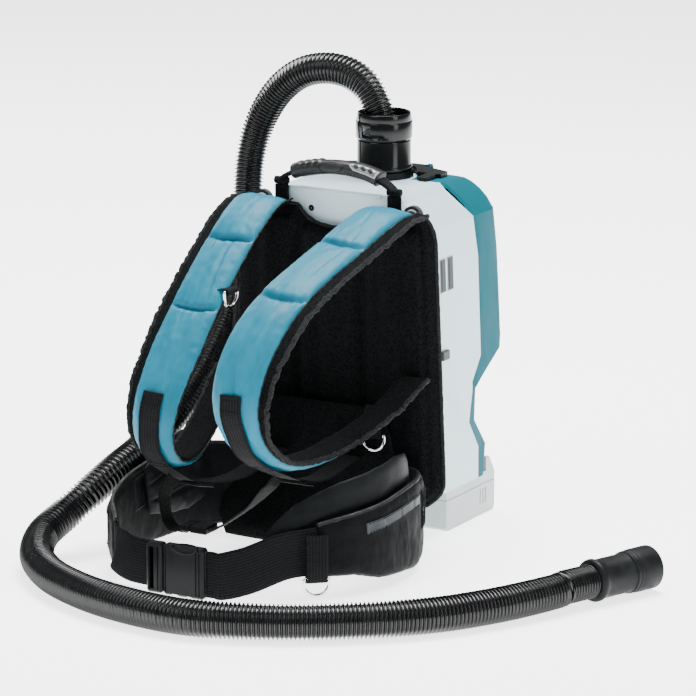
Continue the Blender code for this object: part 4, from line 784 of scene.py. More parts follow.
# creases: strap, share where one begins and ends, place across at both, depth
STRAP_CREASES = (("left", 0.18, 0.3, 0.26, 0.44, 0.002), ("left", 0.34, 0.42, -0.55, -0.2, 0.001),
                 ("left", 0.42, 0.52, 0.2, 0.6, 0.0016), ("left", 0.5, 0.6, -0.1, 0.5, 0.0018),
                 ("left", 0.03, 0.12, 0.3, 0.05, 0.0009), ("right", 0.36, 0.5, 0.62, 0.7, 0.0014),
                 ("right", 0.46, 0.56, -0.1, 0.45, 0.0016), ("right", 0.55, 0.66, 0.1, 0.55, 0.0018),
                 ("right", 0.04, 0.13, -0.2, 0.25, 0.001), ("right", 0.18, 0.29, 0.5, 0.38, 0.0012))


def crease_depth(name, share, u):
    depth = 0.0
    for strap, first, last, start, end, deep in STRAP_CREASES:
        part = (share - first) / (last - first)
        if strap == name and -0.1 < part < 1.1:
            fade = max(0.0, min(1.0, 4 * part, 4 * (1 - part)))
            centre = start + (end - start) * part
            depth += deep * fade * (bump_at(u, centre, 0.07) - 0.55 * bump_at(u, centre + 0.15, 0.08))
    return depth


def seam_distance(share, u):
    return min(abs(share - spot - SEAM_BOW * (1 - u * u)) for spot in STRAP_SEAMS)


def strap_sizes(share):
    """Width, thickness and the mesh layer's rim at a share of a strap."""
    return [between(row, share) for row in (STRAP_WIDTHS, STRAP_THICKS, STRAP_RIM)]


def strap_cover(name, seed):
    """The teal layer: crowned, sewn down at two cross seams, puckered beside them and along its edges."""
    def shape(share, u, face):
        taper = end_taper(share, 0.045 if share < 0.5 else 0.014, 0.3)
        share = (STRAP_START + share * (STRAP_LAST - STRAP_START)) / STRAP_LAST
        width, thick, _ = strap_sizes(share)
        if face < 0:
            return u * width / 2 * 0.98, -LAYER * thick - 0.0012 * rounded(u) * taper
        away = seam_distance(share, u)
        seam, near = math.exp(-(away / 0.0048) ** 2), math.exp(-away / 0.02)
        edge = max(0.0, (abs(u) - 0.62) / 0.38)
        top = thick * (0.42 + 0.15 * (1 - u * u)) * (1 - 0.84 * seam) * (1 - 0.3 * near)
        top += 0.003 * near * (1 - seam) * ripple((u * 6.5, share * 14, seed), 1.0)
        top += 0.0016 * ripple((u * 1.2, share * 10, seed + 4), 1.0) * (1 - seam)
        top += 0.0007 * ripple((u * 4, share * 55, seed + 7), 1.0)
        top += 0.0014 * edge * ripple((u * 2.5, share * 95, seed + 9), 1.0)
        top -= crease_depth(name, share, u)
        across = u * width / 2 + 0.001 * edge * math.copysign(ripple((share * 60, u, seed + 2), 1.0), u)
        out = -LAYER * thick + (top + LAYER * thick) * rounded(u, 3.2)
        return across, out * taper if out > 0 else out
    return shape


def strap_lining(side, seed):
    """The black mesh layer, which stands out past the teal on the outer side."""
    def shape(share, u, face):
        width, thick, rim = strap_sizes(share)
        half = (width + rim) / 2 + 0.0009 * ripple((share * 30, u * 0.5, seed + 3), 1.0)
        low, high = -thick * 0.5 + 0.0005 * ripple((u * 6, share * 50, seed), 1.0), -LAYER * thick - 0.0004
        middle, rise = (low + high) / 2, (high - low) / 2
        taper = end_taper(share, 0.01, 0.5)
        return side * rim / 2 + u * half * taper, middle + face * rise * rounded(u, 6.0) * taper
    return shape


def strap_edge(name, side, reach, depth, count=240):
    """Points along one edge of a strap, at a reach past the teal layer and a depth through it."""
    spots = []
    for index, (centre, wide, out) in enumerate(frames_along(places(STRAP_ROUTES[name]), count)):
        share = index / (count - 1)
        width, thick, rim = strap_sizes(share)
        spots.append(centre + wide * side * (width / 2 + rim * reach) + out * (depth * thick))
    return spots[2:-2]


def make_strap(name, side):
    seed = 3.0 + side
    frames = frames_along(places(STRAP_ROUTES[name]), STRAP_LAST + 1)
    cover = strap_cover(name, seed)
    top = finish(band(f"strap_cover_{name}", frames[STRAP_START:], cover, 40, 8), "machine", "teal_fabric")
    lining = strap_lining(side, seed)
    under = finish(band(f"strap_lining_{name}", frames[::2], lining), "machine", "black_mesh")
    for piece, fill in ((top, 0.7), (under, 0.6)):
        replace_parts(piece, f"shoulder_strap_{name}")
    for label, edge, reach, depth, radius, rough, look in STRAP_EDGES:
        path = strap_edge(name, side * edge, reach, depth)
        path = [spot + Vector([0.0022 * rough * ripple(spot * 210, 1.0, axis) for axis in range(3)]) * 3
                for spot in path]
        radii = [radius * (1 + rough * ripple((step * 0.55, radius * 900, seed), 1.0))
                 for step in range(len(path))]
        finish(tube(f"strap_{label}_{name}", path, radii, 10), "machine", "black_mesh", look)
    for row, spot in enumerate(STRAP_SEAMS):
        spots = []
        for step in range(25):
            u = 0.9 * (1 - step / 12)
            at = spot + SEAM_BOW * (1 - u * u)
            centre, wide, out = frames[round(at * STRAP_LAST)]
            across, rise = cover((at * STRAP_LAST - STRAP_START) / (STRAP_LAST - STRAP_START), u, 1.0)
            spots.append((centre + wide * across + out * rise, out))
        stitches(f"strap_seam_{name}_{row}", spots, 0.0042, 0.0004)


# ---------------------------------------------------------------- webbing
STRAP_WEB = 0.024
STRAP_WEB_LIFT = 0.0025
STRAP_WEB_RUNS = {
    "left": ((-0.074, -0.174, 0.086), (-0.056, -0.12, 0.08), (-0.045, -0.075, 0.092),
             (-0.042, -0.0506, 0.096)),
    "right": ((0.056, -0.19, 0.108), (0.046, -0.125, 0.093), (0.043, -0.075, 0.096),
              (0.042, -0.0506, 0.098)),
}
SEWN_SHARES = (0.5, 0.54, 0.58, 0.62, 0.655)


def strap_face(name, share, lift):
    """A point above a shoulder strap's outer face."""
    path = smooth_path(places(STRAP_ROUTES[name]), 61)
    index = round(share * 60)
    outward = (path[index + 1] - path[index - 1]).cross(Vector((1, 0, 0))).normalized()
    return path[index] + outward * (between(STRAP_THICKS, share) / 2 + lift)


def make_strap_webbing(name):
    sewn = [strap_face(name, share, STRAP_WEB_LIFT) for share in SEWN_SHARES]
    frames = frames_along(sewn + places(STRAP_WEB_RUNS[name]), 150)
    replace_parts(ribbon(f"strap_web_{name}", frames, STRAP_WEB, 0.0018), f"strap_webbing_{name}")
    rows = [[(frame, part) for frame in frames[3:52]] for part in (-0.42, 0.42)]
    rows += [[(frames[index], part * 0.42) for part in (-1, -0.5, 0, 0.5, 1)] for index in (3, 8, 46, 51)]
    for index, row in enumerate(rows):
        spots = [(centre + wide * STRAP_WEB * part + out * 0.0011, out) for (centre, wide, out), part in row]
        stitches(f"strap_stitch_{name}_{index}", spots)


# ---------------------------------------------------------------- back pad and lumbar pad
PAD_BACK = -0.0065
PAD_DEEP = 0.0205
PAD_BOTTOM_Z = 0.044
PAD_TOP_Z = 0.344
PAD_THICKS = ((0.0, 0.86), (0.22, 0.78), (0.32, 0.56), (0.42, 0.78), (0.62, 1.0), (0.86, 0.92), (1.0, 0.55))
PAD_DIP_HALF = 0.042
PAD_DIP = 0.02
PAD_RIDGES = 5


def pad_half(height):
    """Half width of the back pad at a height, drawn in at its foot and its top."""
    share = (height - PAD_BOTTOM_Z) / (PAD_TOP_Z - PAD_BOTTOM_Z)
    low, high = max(0.0, 1 - share * 11) ** 2, max(0.0, 1 - (1 - share) * 12) ** 2
    return 0.128 - 0.013 * share - 0.022 * low - 0.01 * high


def pad_front(x, height, half):
    """Depth of the pad's front: two side cushions, a spine, soft upright ridges and a sewn border."""
    share = (height - PAD_BOTTOM_Z) / (PAD_TOP_Z - PAD_BOTTOM_Z)
    part = min(abs(x) / half, 1.0)
    full = 1.0 - 0.45 * max(0.0, 1 - share * 12) ** 2 - 0.4 * max(0.0, 1 - (1 - share) * 12) ** 2
    inset = min((1 - part) * half, (height - PAD_BOTTOM_Z), 0.96 * (PAD_TOP_Z - height) + 0.002)
    border = bump_at(inset, 0.0105, 0.0016)
    ridge = 0.05 * math.cos(math.tau * part * PAD_RIDGES) * (1 - part ** 6)
    soft = 0.045 * ripple((x * 40, height * 18, 5.0), 1.0) + 0.02 * ripple((x * 150, height * 90, 8.0), 1.0)
    flange = 0.3 * max(0.0, 1 - inset / 0.0105) ** 0.7
    cushion = level_at(PAD_THICKS, part, True)[0] * full + ridge + soft
    return PAD_BACK - PAD_DEEP * max(cushion - 0.22 * border - flange, 0.12)


def make_back_pad():
    columns, rows = 110, 116
    front, back, faces = [], [], []
    for row in range(rows + 1):
        for column in range(columns + 1):
            u = 2 * column / columns - 1
            height = PAD_BOTTOM_Z + (PAD_TOP_Z - PAD_BOTTOM_Z) * row / rows
            half = pad_half(height)
            x = u * half
            dip = PAD_DIP * math.sqrt(max(1 - (x / PAD_DIP_HALF) ** 2, 0.0)) * max(0.0, row / rows * 4 - 3)
            rim = min((1 - abs(u)) * 20, row / 2.5, (rows - row) / 2.5, 1.0)
            depth = PAD_BACK + (pad_front(x, height, half) - PAD_BACK) * (0.4 + 0.6 * rounded(1 - rim, 2.0))
            front.append(place(x, depth, height - dip))
            back.append(place(x, PAD_BACK, height - dip))
    wide, total = columns + 1, len(front)
    for row in range(rows):
        for column in range(columns):
            a = row * wide + column
            faces.append((a, a + 1, a + wide + 1, a + wide))
            faces.append((total + a, total + a + wide, total + a + wide + 1, total + a + 1))
    rim = list(range(columns)) + [row * wide + columns for row in range(rows)]
    rim += [rows * wide + column for column in range(columns, 0, -1)]
    rim += [row * wide for row in range(rows, 0, -1)]
    for here, after in zip(rim, rim[1:] + rim[:1]):
        faces.append((here, total + here, total + after, after))
    pad = finish(mesh_object("back_cushion", front + back, faces), "machine", "black_mesh")
    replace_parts(pad, "back_pad")
    edge = [(front[index] + back[index]) / 2 for index in rim[::2]]
    path = resample(edge + edge[:1], 400)[:-1]
    radii = [0.0024 * (1 + 0.2 * ripple((step * 0.4, 3, 1), 1.0)) for step in range(len(path))]
    finish(tube("pad_binding", path, radii, 8, loop=True), "machine", "black_mesh", "fuzz")


LUMBAR_DEPTH = -0.03822
LUMBAR_THICK = 0.026
LUMBAR_LEVELS = (0.006, 0.02, 0.04, 0.062, 0.08, 0.105, 0.13, 0.148)
LUMBAR_WIDTHS = (0.18, 0.216, 0.22, 0.196, 0.174, 0.17, 0.16, 0.125)
LUMBAR_SHARES = (0.8, 0.9, 0.9, 0.95, 1.0, 1.0, 0.92, 0.62)
LUMBAR_LEAN = (-0.042, -0.028, -0.011, 0.0, 0.0, 0.0, 0.0, 0.0)       # the foot settles forward on the floor


def make_lumbar():
    def shape(share, u, face):
        quilt = 1 - 0.16 * max(bump_at(abs(u), 0.42, 0.05), 0.7 * bump_at(share, 0.5, 0.05))
        thick = LUMBAR_THICK / 2 * between(LUMBAR_SHARES, share) * rounded(u, 3.0)
        thick += 0.0008 * ripple((u * 3, share * 8, 2), 1.0) * rounded(u)
        return u * between(LUMBAR_WIDTHS, share) / 2, -face * thick * quilt * end_taper(share, 0.08, 0.3)
    middle = [place(0, LUMBAR_DEPTH + lean, z) for z, lean in zip(LUMBAR_LEVELS, LUMBAR_LEAN)]
    frames = [(centre, -wide, out) for centre, wide, out in frames_along(middle, 90)]
    pad = finish(band("lumbar_cushion", frames, shape, 60, 30), "machine", "black_mesh")
    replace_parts(pad, "lumbar_pad")


# ---------------------------------------------------------------- hip belt
HIP_Z = 0.064
WING_ROUTES = {
    "left": ((-0.084, LUMBAR_DEPTH, HIP_Z), (-0.104, -0.043, HIP_Z), (-0.124, -0.06, HIP_Z),
             (-0.1395, -0.098, 0.062), (-0.1435, -0.14, 0.059), (-0.1425, -0.185, 0.054),
             (-0.131, -0.23, 0.046), (-0.108, -0.262, 0.038)),
    "right": ((0.084, LUMBAR_DEPTH, HIP_Z), (0.104, -0.043, HIP_Z), (0.123, -0.058, HIP_Z),
              (0.138, -0.087, 0.064), (0.1435, -0.122, 0.063), (0.14, -0.16, 0.058),
              (0.126, -0.195, 0.054), (0.104, -0.222, 0.05)),
}
WING_WIDTHS = (0.052, 0.058, 0.061, 0.062, 0.06, 0.058, 0.056, 0.052)
WING_DROPS = (0.028, 0.028, 0.026, 0.024, 0.02, 0.014, 0.003, 0.0)     # the slack of the lower edge
WING_SHARES = (0.75, 0.95, 1.0, 1.0, 1.0, 1.0, 0.85, 0.65)
WING_THICK = 0.012
WING_LAST = 159                  # the number of a wing's last frame
HIP_PAD_THICK = 0.014
HIP_PADS = {    # the route, then (share of it, rise, width): the right pad runs on behind the webbing
    "left": (WING_ROUTES["left"], ((0.24, 0.012, 0.07), (0.33, 0.012, 0.086), (0.42, 0.011, 0.08),
                                   (0.51, 0.01, 0.068), (0.6, 0.009, 0.05))),
    "right": (WING_ROUTES["right"] + ((0.086, -0.241, 0.045), (0.064, -0.256, 0.038)),
              ((0.2, 0.013, 0.078), (0.34, 0.013, 0.098), (0.52, 0.013, 0.098), (0.7, 0.018, 0.084),
               (0.86, 0.014, 0.066), (0.99, 0.004, 0.034))),
}


STRIP_THICK = 0.0012
STRIP_STEPS = 50
# strips on the wings: name, wing, shares at its ends, heights there, width, look, slot, on the inner face
WING_STRIPS = (
    ("reflective_strip", "right", (0.4, 0.78), (0.014, 0.012), 0.011, "reflective", "webbing", False),
    ("hip_panel_left", "left", (0.3, 0.66), (0.008, 0.008), 0.034, "flap_cloth", "black_mesh", True),
    ("hip_tape_right", "right", (0.2, 0.36), (0.0, 0.0), 0.04, "black_cloth", "black_mesh", False),
    ("hip_tape_left", "left", (0.55, 0.9), (0.0, 0.0), 0.04, "black_cloth", "black_mesh", False),
)


def wing_frames(name, count):
    """Frames along a wing: across is up, and out is away from the wearer."""
    frames = frames_along(places(WING_ROUTES[name]), count, (0, 0, 1))
    return frames if name == "left" else [(centre, -wide, -out) for centre, wide, out in frames]


def wing_face(name, share, rise, lift, inside=False):
    """A point on a wing's face, up from its middle line, and the way that the face looks."""
    centre, wide, out = wing_frames(name, 121)[round(share * 120)]
    up = wide if wide.z > 0 else -wide
    out = -out if inside else out
    return centre + up * rise + out * (WING_THICK / 2 * between(WING_SHARES, share) + lift), out


def wing_reach(share, u, up):
    """How far a wing's section reaches across at u, with its slack lower edge."""
    slack = between(WING_DROPS, share) * max(0.0, -u * up) ** 1.5
    return u * between(WING_WIDTHS, share) / 2 - up * slack


def make_wing(name, side):
    seed = 11.0 + side
    up = 1.0 if wing_frames(name, 9)[4][1].z > 0 else -1.0

    def shape(share, u, face):
        thick = WING_THICK / 2 * between(WING_SHARES, share)
        puff = 1.0 + (0.12 * math.cos(u * 1.5) if face < 0 else 0.0)
        fold = 0.001 * ripple((u * 2, share * 16, seed), 1.0)
        fold += 0.0005 * ripple((u * 6, share * 50, seed), 1.0)
        rise = face * (thick * puff * rounded(u, 7.0) + fold) * end_taper(share, 0.02, 0.4)
        return wing_reach(share, u, up), rise
    frames = wing_frames(name, WING_LAST + 1)
    wing = finish(band(f"hip_wing_{name}", frames, shape, 30, 30), "machine", "black_mesh", "black_cloth")
    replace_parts(wing, f"hip_belt_{name}")
    for label, sign in (("upper", 1), ("lower", -1)):
        path = [centre + wide * (wing_reach(index / WING_LAST, sign * up, up) - sign * up * 0.0006)
                for index, (centre, wide, _) in enumerate(frames)]
        radii = [0.0026 * (1 + 0.12 * ripple((index * 0.3, sign, seed), 1.0))
                 for index in range(WING_LAST + 1)]
        finish(tube(f"hip_binding_{label}_{name}", path, radii, 10), "machine", "webbing", "piping")


def wing_strip(name, wing, ends, rises, width, look, slot, inside):
    """A strip sewn to a face of a wing, with stitches along both edges."""
    shares = [step / (STRIP_STEPS - 1) for step in range(STRIP_STEPS)]
    spots = [wing_face(wing, between(ends, share), between(rises, share), STRIP_THICK * 0.4, inside)
             for share in shares]
    path, frames = [spot for spot, _ in spots], []
    for index, (spot, out) in enumerate(spots):
        ahead = ahead_at(path, index)
        frames.append((spot, out.cross(ahead).normalized(), out))
    ribbon(name, frames, width, STRIP_THICK, slot, look, waver=0.0002)
    for row, part in enumerate((-0.43, 0.43)):
        stitches(f"{name}_stitch_{row}", [(spot + wide * width * part + out * STRIP_THICK * 0.6, out)
                                          for spot, wide, out in frames[1:-1]])


HIP_PAD_SHARES = (0.75, 1.0, 1.0, 1.0, 0.7)


def make_hip_pad(name, side):
    """Soft inner pad of a wing, with two sewn channels."""
    route, spots = HIP_PADS[name]
    path = smooth_path(places(route), 61)
    widths = [width for _, _, width in spots]
    inner = []
    for share, rise, _ in spots:
        index = round(share * 60)
        inward = (path[index + 1] - path[index - 1]).cross(UP).normalized() * side
        inner.append(path[index] + inward * (WING_THICK / 2 + HIP_PAD_THICK / 2 + 0.0003) + UP * rise)

    def shape(share, u, face):
        channel = max(bump_at(u, 0.28, 0.05), bump_at(u, -0.42, 0.05))
        puff = HIP_PAD_THICK / 2 * between(HIP_PAD_SHARES, share) * rounded(u, 3.0) * (1 - 0.38 * channel)
        puff += 0.0011 * ripple((u * 4, share * 9, 21.0 + side), 1.0) * rounded(u)
        return u * between(widths, share) / 2, face * puff * end_taper(share, 0.1, 0.25)
    pad = finish(band(f"hip_cushion_{name}", frames_along(inner, 70, (0, 0, 1)), shape, 44, 44), "machine",
                 "black_mesh", "flap_cloth")
    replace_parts(pad, f"hip_pad_{name}")


WEB_WIDTH = 0.048
WEB_THICK = 0.0024
BUCKLE_DEPTH = -0.28
BUCKLE_X = -0.0155
BUCKLE_HALF = 0.0235
BUCKLE_TALL = 0.052
BUCKLE_THICK = 0.013
BUCKLE_Z = 0.0262


def beyond(route, distance):
    """A spot straight past the end of a route."""
    last, before = place(*route[-1]), place(*route[-2])
    return last + (last - before).normalized() * distance


def make_belt_webbing():
    behind = BUCKLE_DEPTH + BUCKLE_THICK / 2 + 0.0003 + WEB_THICK / 2
    left = [beyond(WING_ROUTES["left"], 0.0013), beyond(WING_ROUTES["left"], 0.01)]
    left += places(((-0.088, behind, 0.0285), (-0.07, behind, BUCKLE_Z), (-0.044, behind, BUCKLE_Z)))
    right = [beyond(WING_ROUTES["right"], 0.0008), beyond(WING_ROUTES["right"], 0.01)]
    right += places(((0.077, -0.248, 0.0455), (0.05, -0.27, 0.0335)))
    right += [place(x, BUCKLE_DEPTH, BUCKLE_Z) for x in (0.026, 0.017, BUCKLE_X + BUCKLE_HALF + 0.0006)]
    for name, points, count in (("left", left, 50), ("right", right, 90)):
        web = ribbon(f"belt_web_{name}", frames_along(points, count, (0, 0, 1)), WEB_WIDTH, WEB_THICK,
                     look="belt_webbing")
        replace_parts(web, f"belt_webbing_{name}")


CHEST_DEPTH = -0.2
CHEST_RUNS = {
    "left": (((-0.08, -0.1962, 0.0932), (-0.085, -0.2019, 0.0847), (-0.088, -0.201, 0.07),
              (-0.086, CHEST_DEPTH, 0.052), (-0.079, CHEST_DEPTH, 0.0423), (-0.07, CHEST_DEPTH, 0.0423),
              (-0.058, CHEST_DEPTH, 0.0423)), ((0.23, 0.81, -0.54), (0, 1, 0), (0, 1, 0))),
    "right": (((-0.0322, CHEST_DEPTH, 0.047), (-0.02, CHEST_DEPTH, 0.053), (0.018, -0.208, 0.08),
               (0.05, -0.2277, 0.1074), (0.0569, -0.2232, 0.1172)), ((0, 1, 0), (0, 1, 0), (0, 0.91, -0.41))),
}


def make_soft_goods():
    for name, side in SIDES:
        make_strap(name, side)
        make_strap_webbing(name)
        make_wing(name, side)
        make_hip_pad(name, side)
        points, across = CHEST_RUNS[name]
        web = ribbon(f"chest_web_{name}", frames_along(places(points), 80, across), 0.02, 0.0018)
        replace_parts(web, f"chest_strap_{name}")
    make_back_pad()
    make_lumbar()
    make_belt_webbing()


# ---------------------------------------------------------------- carry handle
HANDLE_X = 0.066
HANDLE_DEPTH = -0.0032
HANDLE_Z = 0.3665
HANDLE_ARCH = ((-1.0, 0.001), (-0.91, 0.006), (-0.7, 0.0115), (-0.3, 0.0172), (0.09, 0.019), (0.48, 0.0168),
               (0.76, 0.0112), (0.92, 0.0052), (1.0, 0.001))
GRIP_ENDS = (0.13, 0.87)         # of the arch; webbing beyond
GRIP_WIDE = 0.0215
GRIP_THICK = 0.0172
GRIP_LOW_END = 0.8              # the underside is flatter than the top


def grip_frames(first, last, count):
    """Frames over a share of the handle's arch."""
    points = [place(x * HANDLE_X, HANDLE_DEPTH, HANDLE_Z + rise) for x, rise in HANDLE_ARCH]
    frames = frames_along(points, 301, (0, 1, 0))
    picks = [round(300 * (first + (last - first) * step / (count - 1))) for step in range(count)]
    return [frames[pick] for pick in picks]


GRIP_RUN = grip_frames(*GRIP_ENDS, 201)


def grip_spot(share, turn, lift=0.0):
    """A point on the grip at a share of its length and a turn round it, with the way that the face looks."""
    centre, wide, out = GRIP_RUN[round(share * 200)]
    low = GRIP_LOW_END if math.sin(turn) < 0 else 1.0
    across = squarish(math.cos(turn), 0.8) * (GRIP_WIDE / 2 + lift)
    rise = squarish(math.sin(turn), 0.8) * (GRIP_THICK / 2 * low + lift)
    look = wide * math.cos(turn) * GRIP_THICK + out * math.sin(turn) * GRIP_WIDE
    return centre + wide * across + out * rise, look.normalized()


def squarish(value, power):
    return math.copysign(abs(value) ** power, value)


def make_grip():
    rings = []
    for step in range(121):
        share = step / 120
        knob = 0.0017 * abs(math.sin(math.pi * (share - 0.05) / 0.075)) if 0.05 < share < 0.35 else 0.0
        waist = 1 - 0.05 * bump_at(share, 0.5, 0.25)
        ends = end_taper(share, 0.02, 0.6)
        centre = GRIP_RUN[round(share * 200)][0]
        ring = []
        for turn in turns(40):
            spot, look = grip_spot(share, turn)
            top = max(0.0, look.z) ** 3
            ring.append(centre + (spot - centre) * waist * ends + look * knob * top)
        rings.append(ring)
    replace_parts(finish(loft("grip_body", rings), "handle", "black_rubber", "grip_rubber"), "handle_grip")


def on_grip(name, outline, lift, thick, look, slot="black_plastic"):
    """A thin plate that follows the grip: outline is (share, turn in degrees) round its edge."""
    middle = [sum(point[axis] for point in outline) / len(outline) for axis in (0, 1)]
    rings = []
    for height, shrink in ((0.0, 1.0), (thick * 0.7, 1.0), (thick, 0.86), (thick, 0.5)):
        ring = []
        for share, turn in outline:
            share = middle[0] + (share - middle[0]) * shrink
            turn = middle[1] + (turn - middle[1]) * shrink
            ring.append(grip_spot(share, math.radians(turn), lift + height)[0])
        rings.append(ring)
    finish(loft(name, rings), "handle", slot, look)


def make_handle():
    make_grip()
    oval = [(0.47 + 0.13 * math.cos(t), 166 + 33 * math.sin(t)) for t in turns(36)]
    on_grip("grip_oval", oval, -0.0002, 0.0007, "grip_rubber", "black_rubber")
    path = [grip_spot(share, math.radians(turn), 0.0001)[0] for share, turn in oval]
    finish(tube("grip_oval_rim", path, 0.0006, 8, loop=True), "handle", "black_rubber", "piping")
    shield = [(0.665, 138), (0.72, 168), (0.8, 172), (0.975, 172), (0.975, 112), (0.8, 112), (0.7, 116)]
    shield = [tuple(shield[i][k] + (shield[(i + 1) % 7][k] - shield[i][k]) * part for k in (0, 1))
              for i in range(7) for part in (0.0, 0.25, 0.5, 0.75)]
    on_grip("grip_shield_frame", shield, -0.0002, 0.0007, "shield_rim")
    inner = [(0.835 + (share - 0.835) * 0.86, 141 + (turn - 141) * 0.76) for share, turn in shield]
    on_grip("grip_shield", inner, 0.0004, 0.0006, "silver_plastic")
    for step in range(3):
        slot = [(0.745 + 0.078 * step + 0.027 * math.cos(t) + 0.012 * math.sin(t), 138 + 17 * math.sin(t))
                for t in turns(20)]
        on_grip(f"grip_slot_{step}", slot, 0.0008, 0.0004, "piping")
    for row, (first, last, turn, count) in enumerate(((0.08, 0.3, 158, 8), (0.1, 0.3, 186, 7),
                                                      (0.64, 0.93, 186, 9), (0.66, 0.95, 199, 8))):
        for step in range(count):
            share = first + (last - first) * step / (count - 1)
            spot, look = grip_spot(share, math.radians(turn))
            profile = [(0.0002, -0.0004), (0.0008, -0.0002), (0.0007, 0.0003), (0.0002, 0.0004)]
            finish(turned(f"grip_dot_{row}_{step}", spot, look, profile, 8), "handle", "black_rubber",
                   "piping")
    for name, side in SIDES:
        cuff = 0.02 if side < 0 else 0.98
        path = [grip_spot(cuff, turn, -0.0004)[0] for turn in turns(40)]
        finish(tube(f"grip_cuff_{name}", path, 0.0008, 8, loop=True), "handle", "black_rubber", "piping")
        ends = (0.155, 0.0) if side < 0 else (0.845, 1.0)
        frames = grip_frames(*ends, 30)
        loop = band(f"handle_loop_{name}", frames, lambda share, u, face: (
            u * (0.008 - 0.0006 * share), face * rounded(u, 8.0) * (0.003 - 0.0012 * share)), 14, 14)
        finish(loop, "handle", "webbing")
        pivot = place(side * HANDLE_X, HANDLE_DEPTH, HANDLE_Z)
        path = [pivot + Vector((0.0074 * (2 * step / 12 - 1), 0, 0)) for step in range(13)]
        finish(tube(f"handle_roll_{name}", path, 0.004, 20), "handle", "webbing")
        points = [place(side * HANDLE_X, HANDLE_DEPTH, z) for z in (0.362, 0.356, 0.348, 0.3355)]
        tail = band(f"handle_tail_{name}", frames_along(points, 30), lambda share, u, face: (
            u * 0.008, face * rounded(u, 8.0) * 0.0021 + 0.0003 * ripple((share * 5, u, side), 1.0)), 14, 14)
        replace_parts(finish(tail, "machine", "webbing"), f"handle_webbing_{name}")


# ---------------------------------------------------------------- coupler, lock ring and end cuff
TOP_Z = 0.361
INLET_DEPTH = 0.094
COUPLER_Z = 0.3686
COUPLER_TOP_Z = 0.4005
LOCK_TALL = 0.0277


def make_coupler():
    base = place(0, INLET_DEPTH, COUPLER_Z)
    tall = COUPLER_TOP_Z - COUPLER_Z
    profile = [(0.0243, 0.0), (0.0288, 0.0), (0.0294, 0.0006), (0.0294, 0.0034), (0.029, 0.0042),
               (0.0284, 0.005), (0.028, 0.006), (0.0279, tall - 0.0016), (0.0276, tall - 0.0003),
               (0.0258, tall), (0.0256, tall - 0.008), (0.0243, tall - 0.0086)]
    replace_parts(finish(turned("coupler_body", base, UP, profile, 96), "coupler", "black_plastic",
                       "gloss_plastic"), "hose_coupler")
    base = place(0, INLET_DEPTH, COUPLER_TOP_Z + 0.0003)
    profile = [(0.0257, 0.0), (0.0284, 0.0), (0.0287, 0.0004), (0.0292, 0.0012), (0.0295, 0.0022),
               (0.0295, 0.0182), (0.0292, 0.0188), (0.0288, 0.019), (0.0287, 0.0196), (0.0289, 0.0202),
               (0.0278, 0.0262), (0.0274, 0.0274), (0.0268, LOCK_TALL), (0.0263, LOCK_TALL - 0.0006),
               (0.0261, 0.02), (0.0257, 0.0124)]
    ring = turned("lock_body", base, UP, profile, 96)
    notch = []
    for first, last, low, high in ((-112, -91, 0.005, 0.0068), (-112, -107, 0.005, 0.01)):
        for turn in (first, first + 180):
            middle = math.radians(turn + (last - first) / 2)
            spot = base + Vector((math.cos(middle), math.sin(middle), 0)) * 0.0295 + UP * (low + high) / 2
            size = (0.005, math.radians(last - first) * 0.0295, high - low)
            notch.append(box(f"cut_slot_{turn}_{low}_{last}", spot, size, Matrix.Rotation(middle, 3, "Z")))
    cut(ring, *notch)
    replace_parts(finish(ring, "lock", "black_plastic", "gloss_plastic"), "lock_ring")


def make_cuff():
    """The end fitting: a ring where the hose goes in, a narrow neck and the wide mouth."""
    start = place(*HOSE_END) + CUFF_HEADING * 0.0003
    neck = [(0.0142, 0.0), (0.0178, 0.0), (0.0205, 0.001), (0.0214, 0.003), (0.0215, 0.0056),
            (0.0206, 0.0074), (0.0201, 0.009), (0.0199, 0.012), (0.0198, 0.0405), (0.0202, 0.044),
            (0.0206, 0.046), (0.0142, 0.046)]
    mouth = [(0.0142, 0.0), (0.0206, 0.0), (0.0213, 0.001), (0.0214, 0.0028), (0.0209, 0.0036),
             (0.0209, 0.0046), (0.0215, 0.0054), (0.0216, 0.0064), (0.0213, 0.0074), (0.0218, 0.009),
             (0.022, 0.011), (0.022, 0.0322), (0.0218, 0.0334), (0.0213, 0.034), (0.0208, 0.0337),
             (0.0205, 0.03), (0.0187, 0.02), (0.0185, 0.006), (0.0142, 0.0045)]
    pieces = []
    for name, node, along, profile in (("cuff_neck", "hose_cuff_sleeve", 0.0, neck),
                                       ("cuff_mouth", "hose_end_cuff", 0.0463, mouth)):
        piece = turned(name, start + CUFF_HEADING * along, CUFF_HEADING, profile, 72)
        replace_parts(finish(piece, "machine", "black_rubber", "cuff_rubber"), node)
        pieces.append(piece)
    return pieces


# ---------------------------------------------------------------- buckles, rings and tabs
RING_R = 0.0125
RING_WIRE_R = 0.0016
RINGS = (("belt", (0.104, -0.229, 0.0216), (0.75, 0.66, 0.0)),
         ("hip_right", (0.068, LUMBAR_DEPTH - 0.012, 0.124), (1.0, 0.0, 0.0)),
         ("hip_left", (-0.07, LUMBAR_DEPTH - 0.012, 0.1), (1.0, 0.0, 0.0)),
         ("strap", (-0.0458, -0.14, 0.279), (0.0, 1.0, 0.0)))
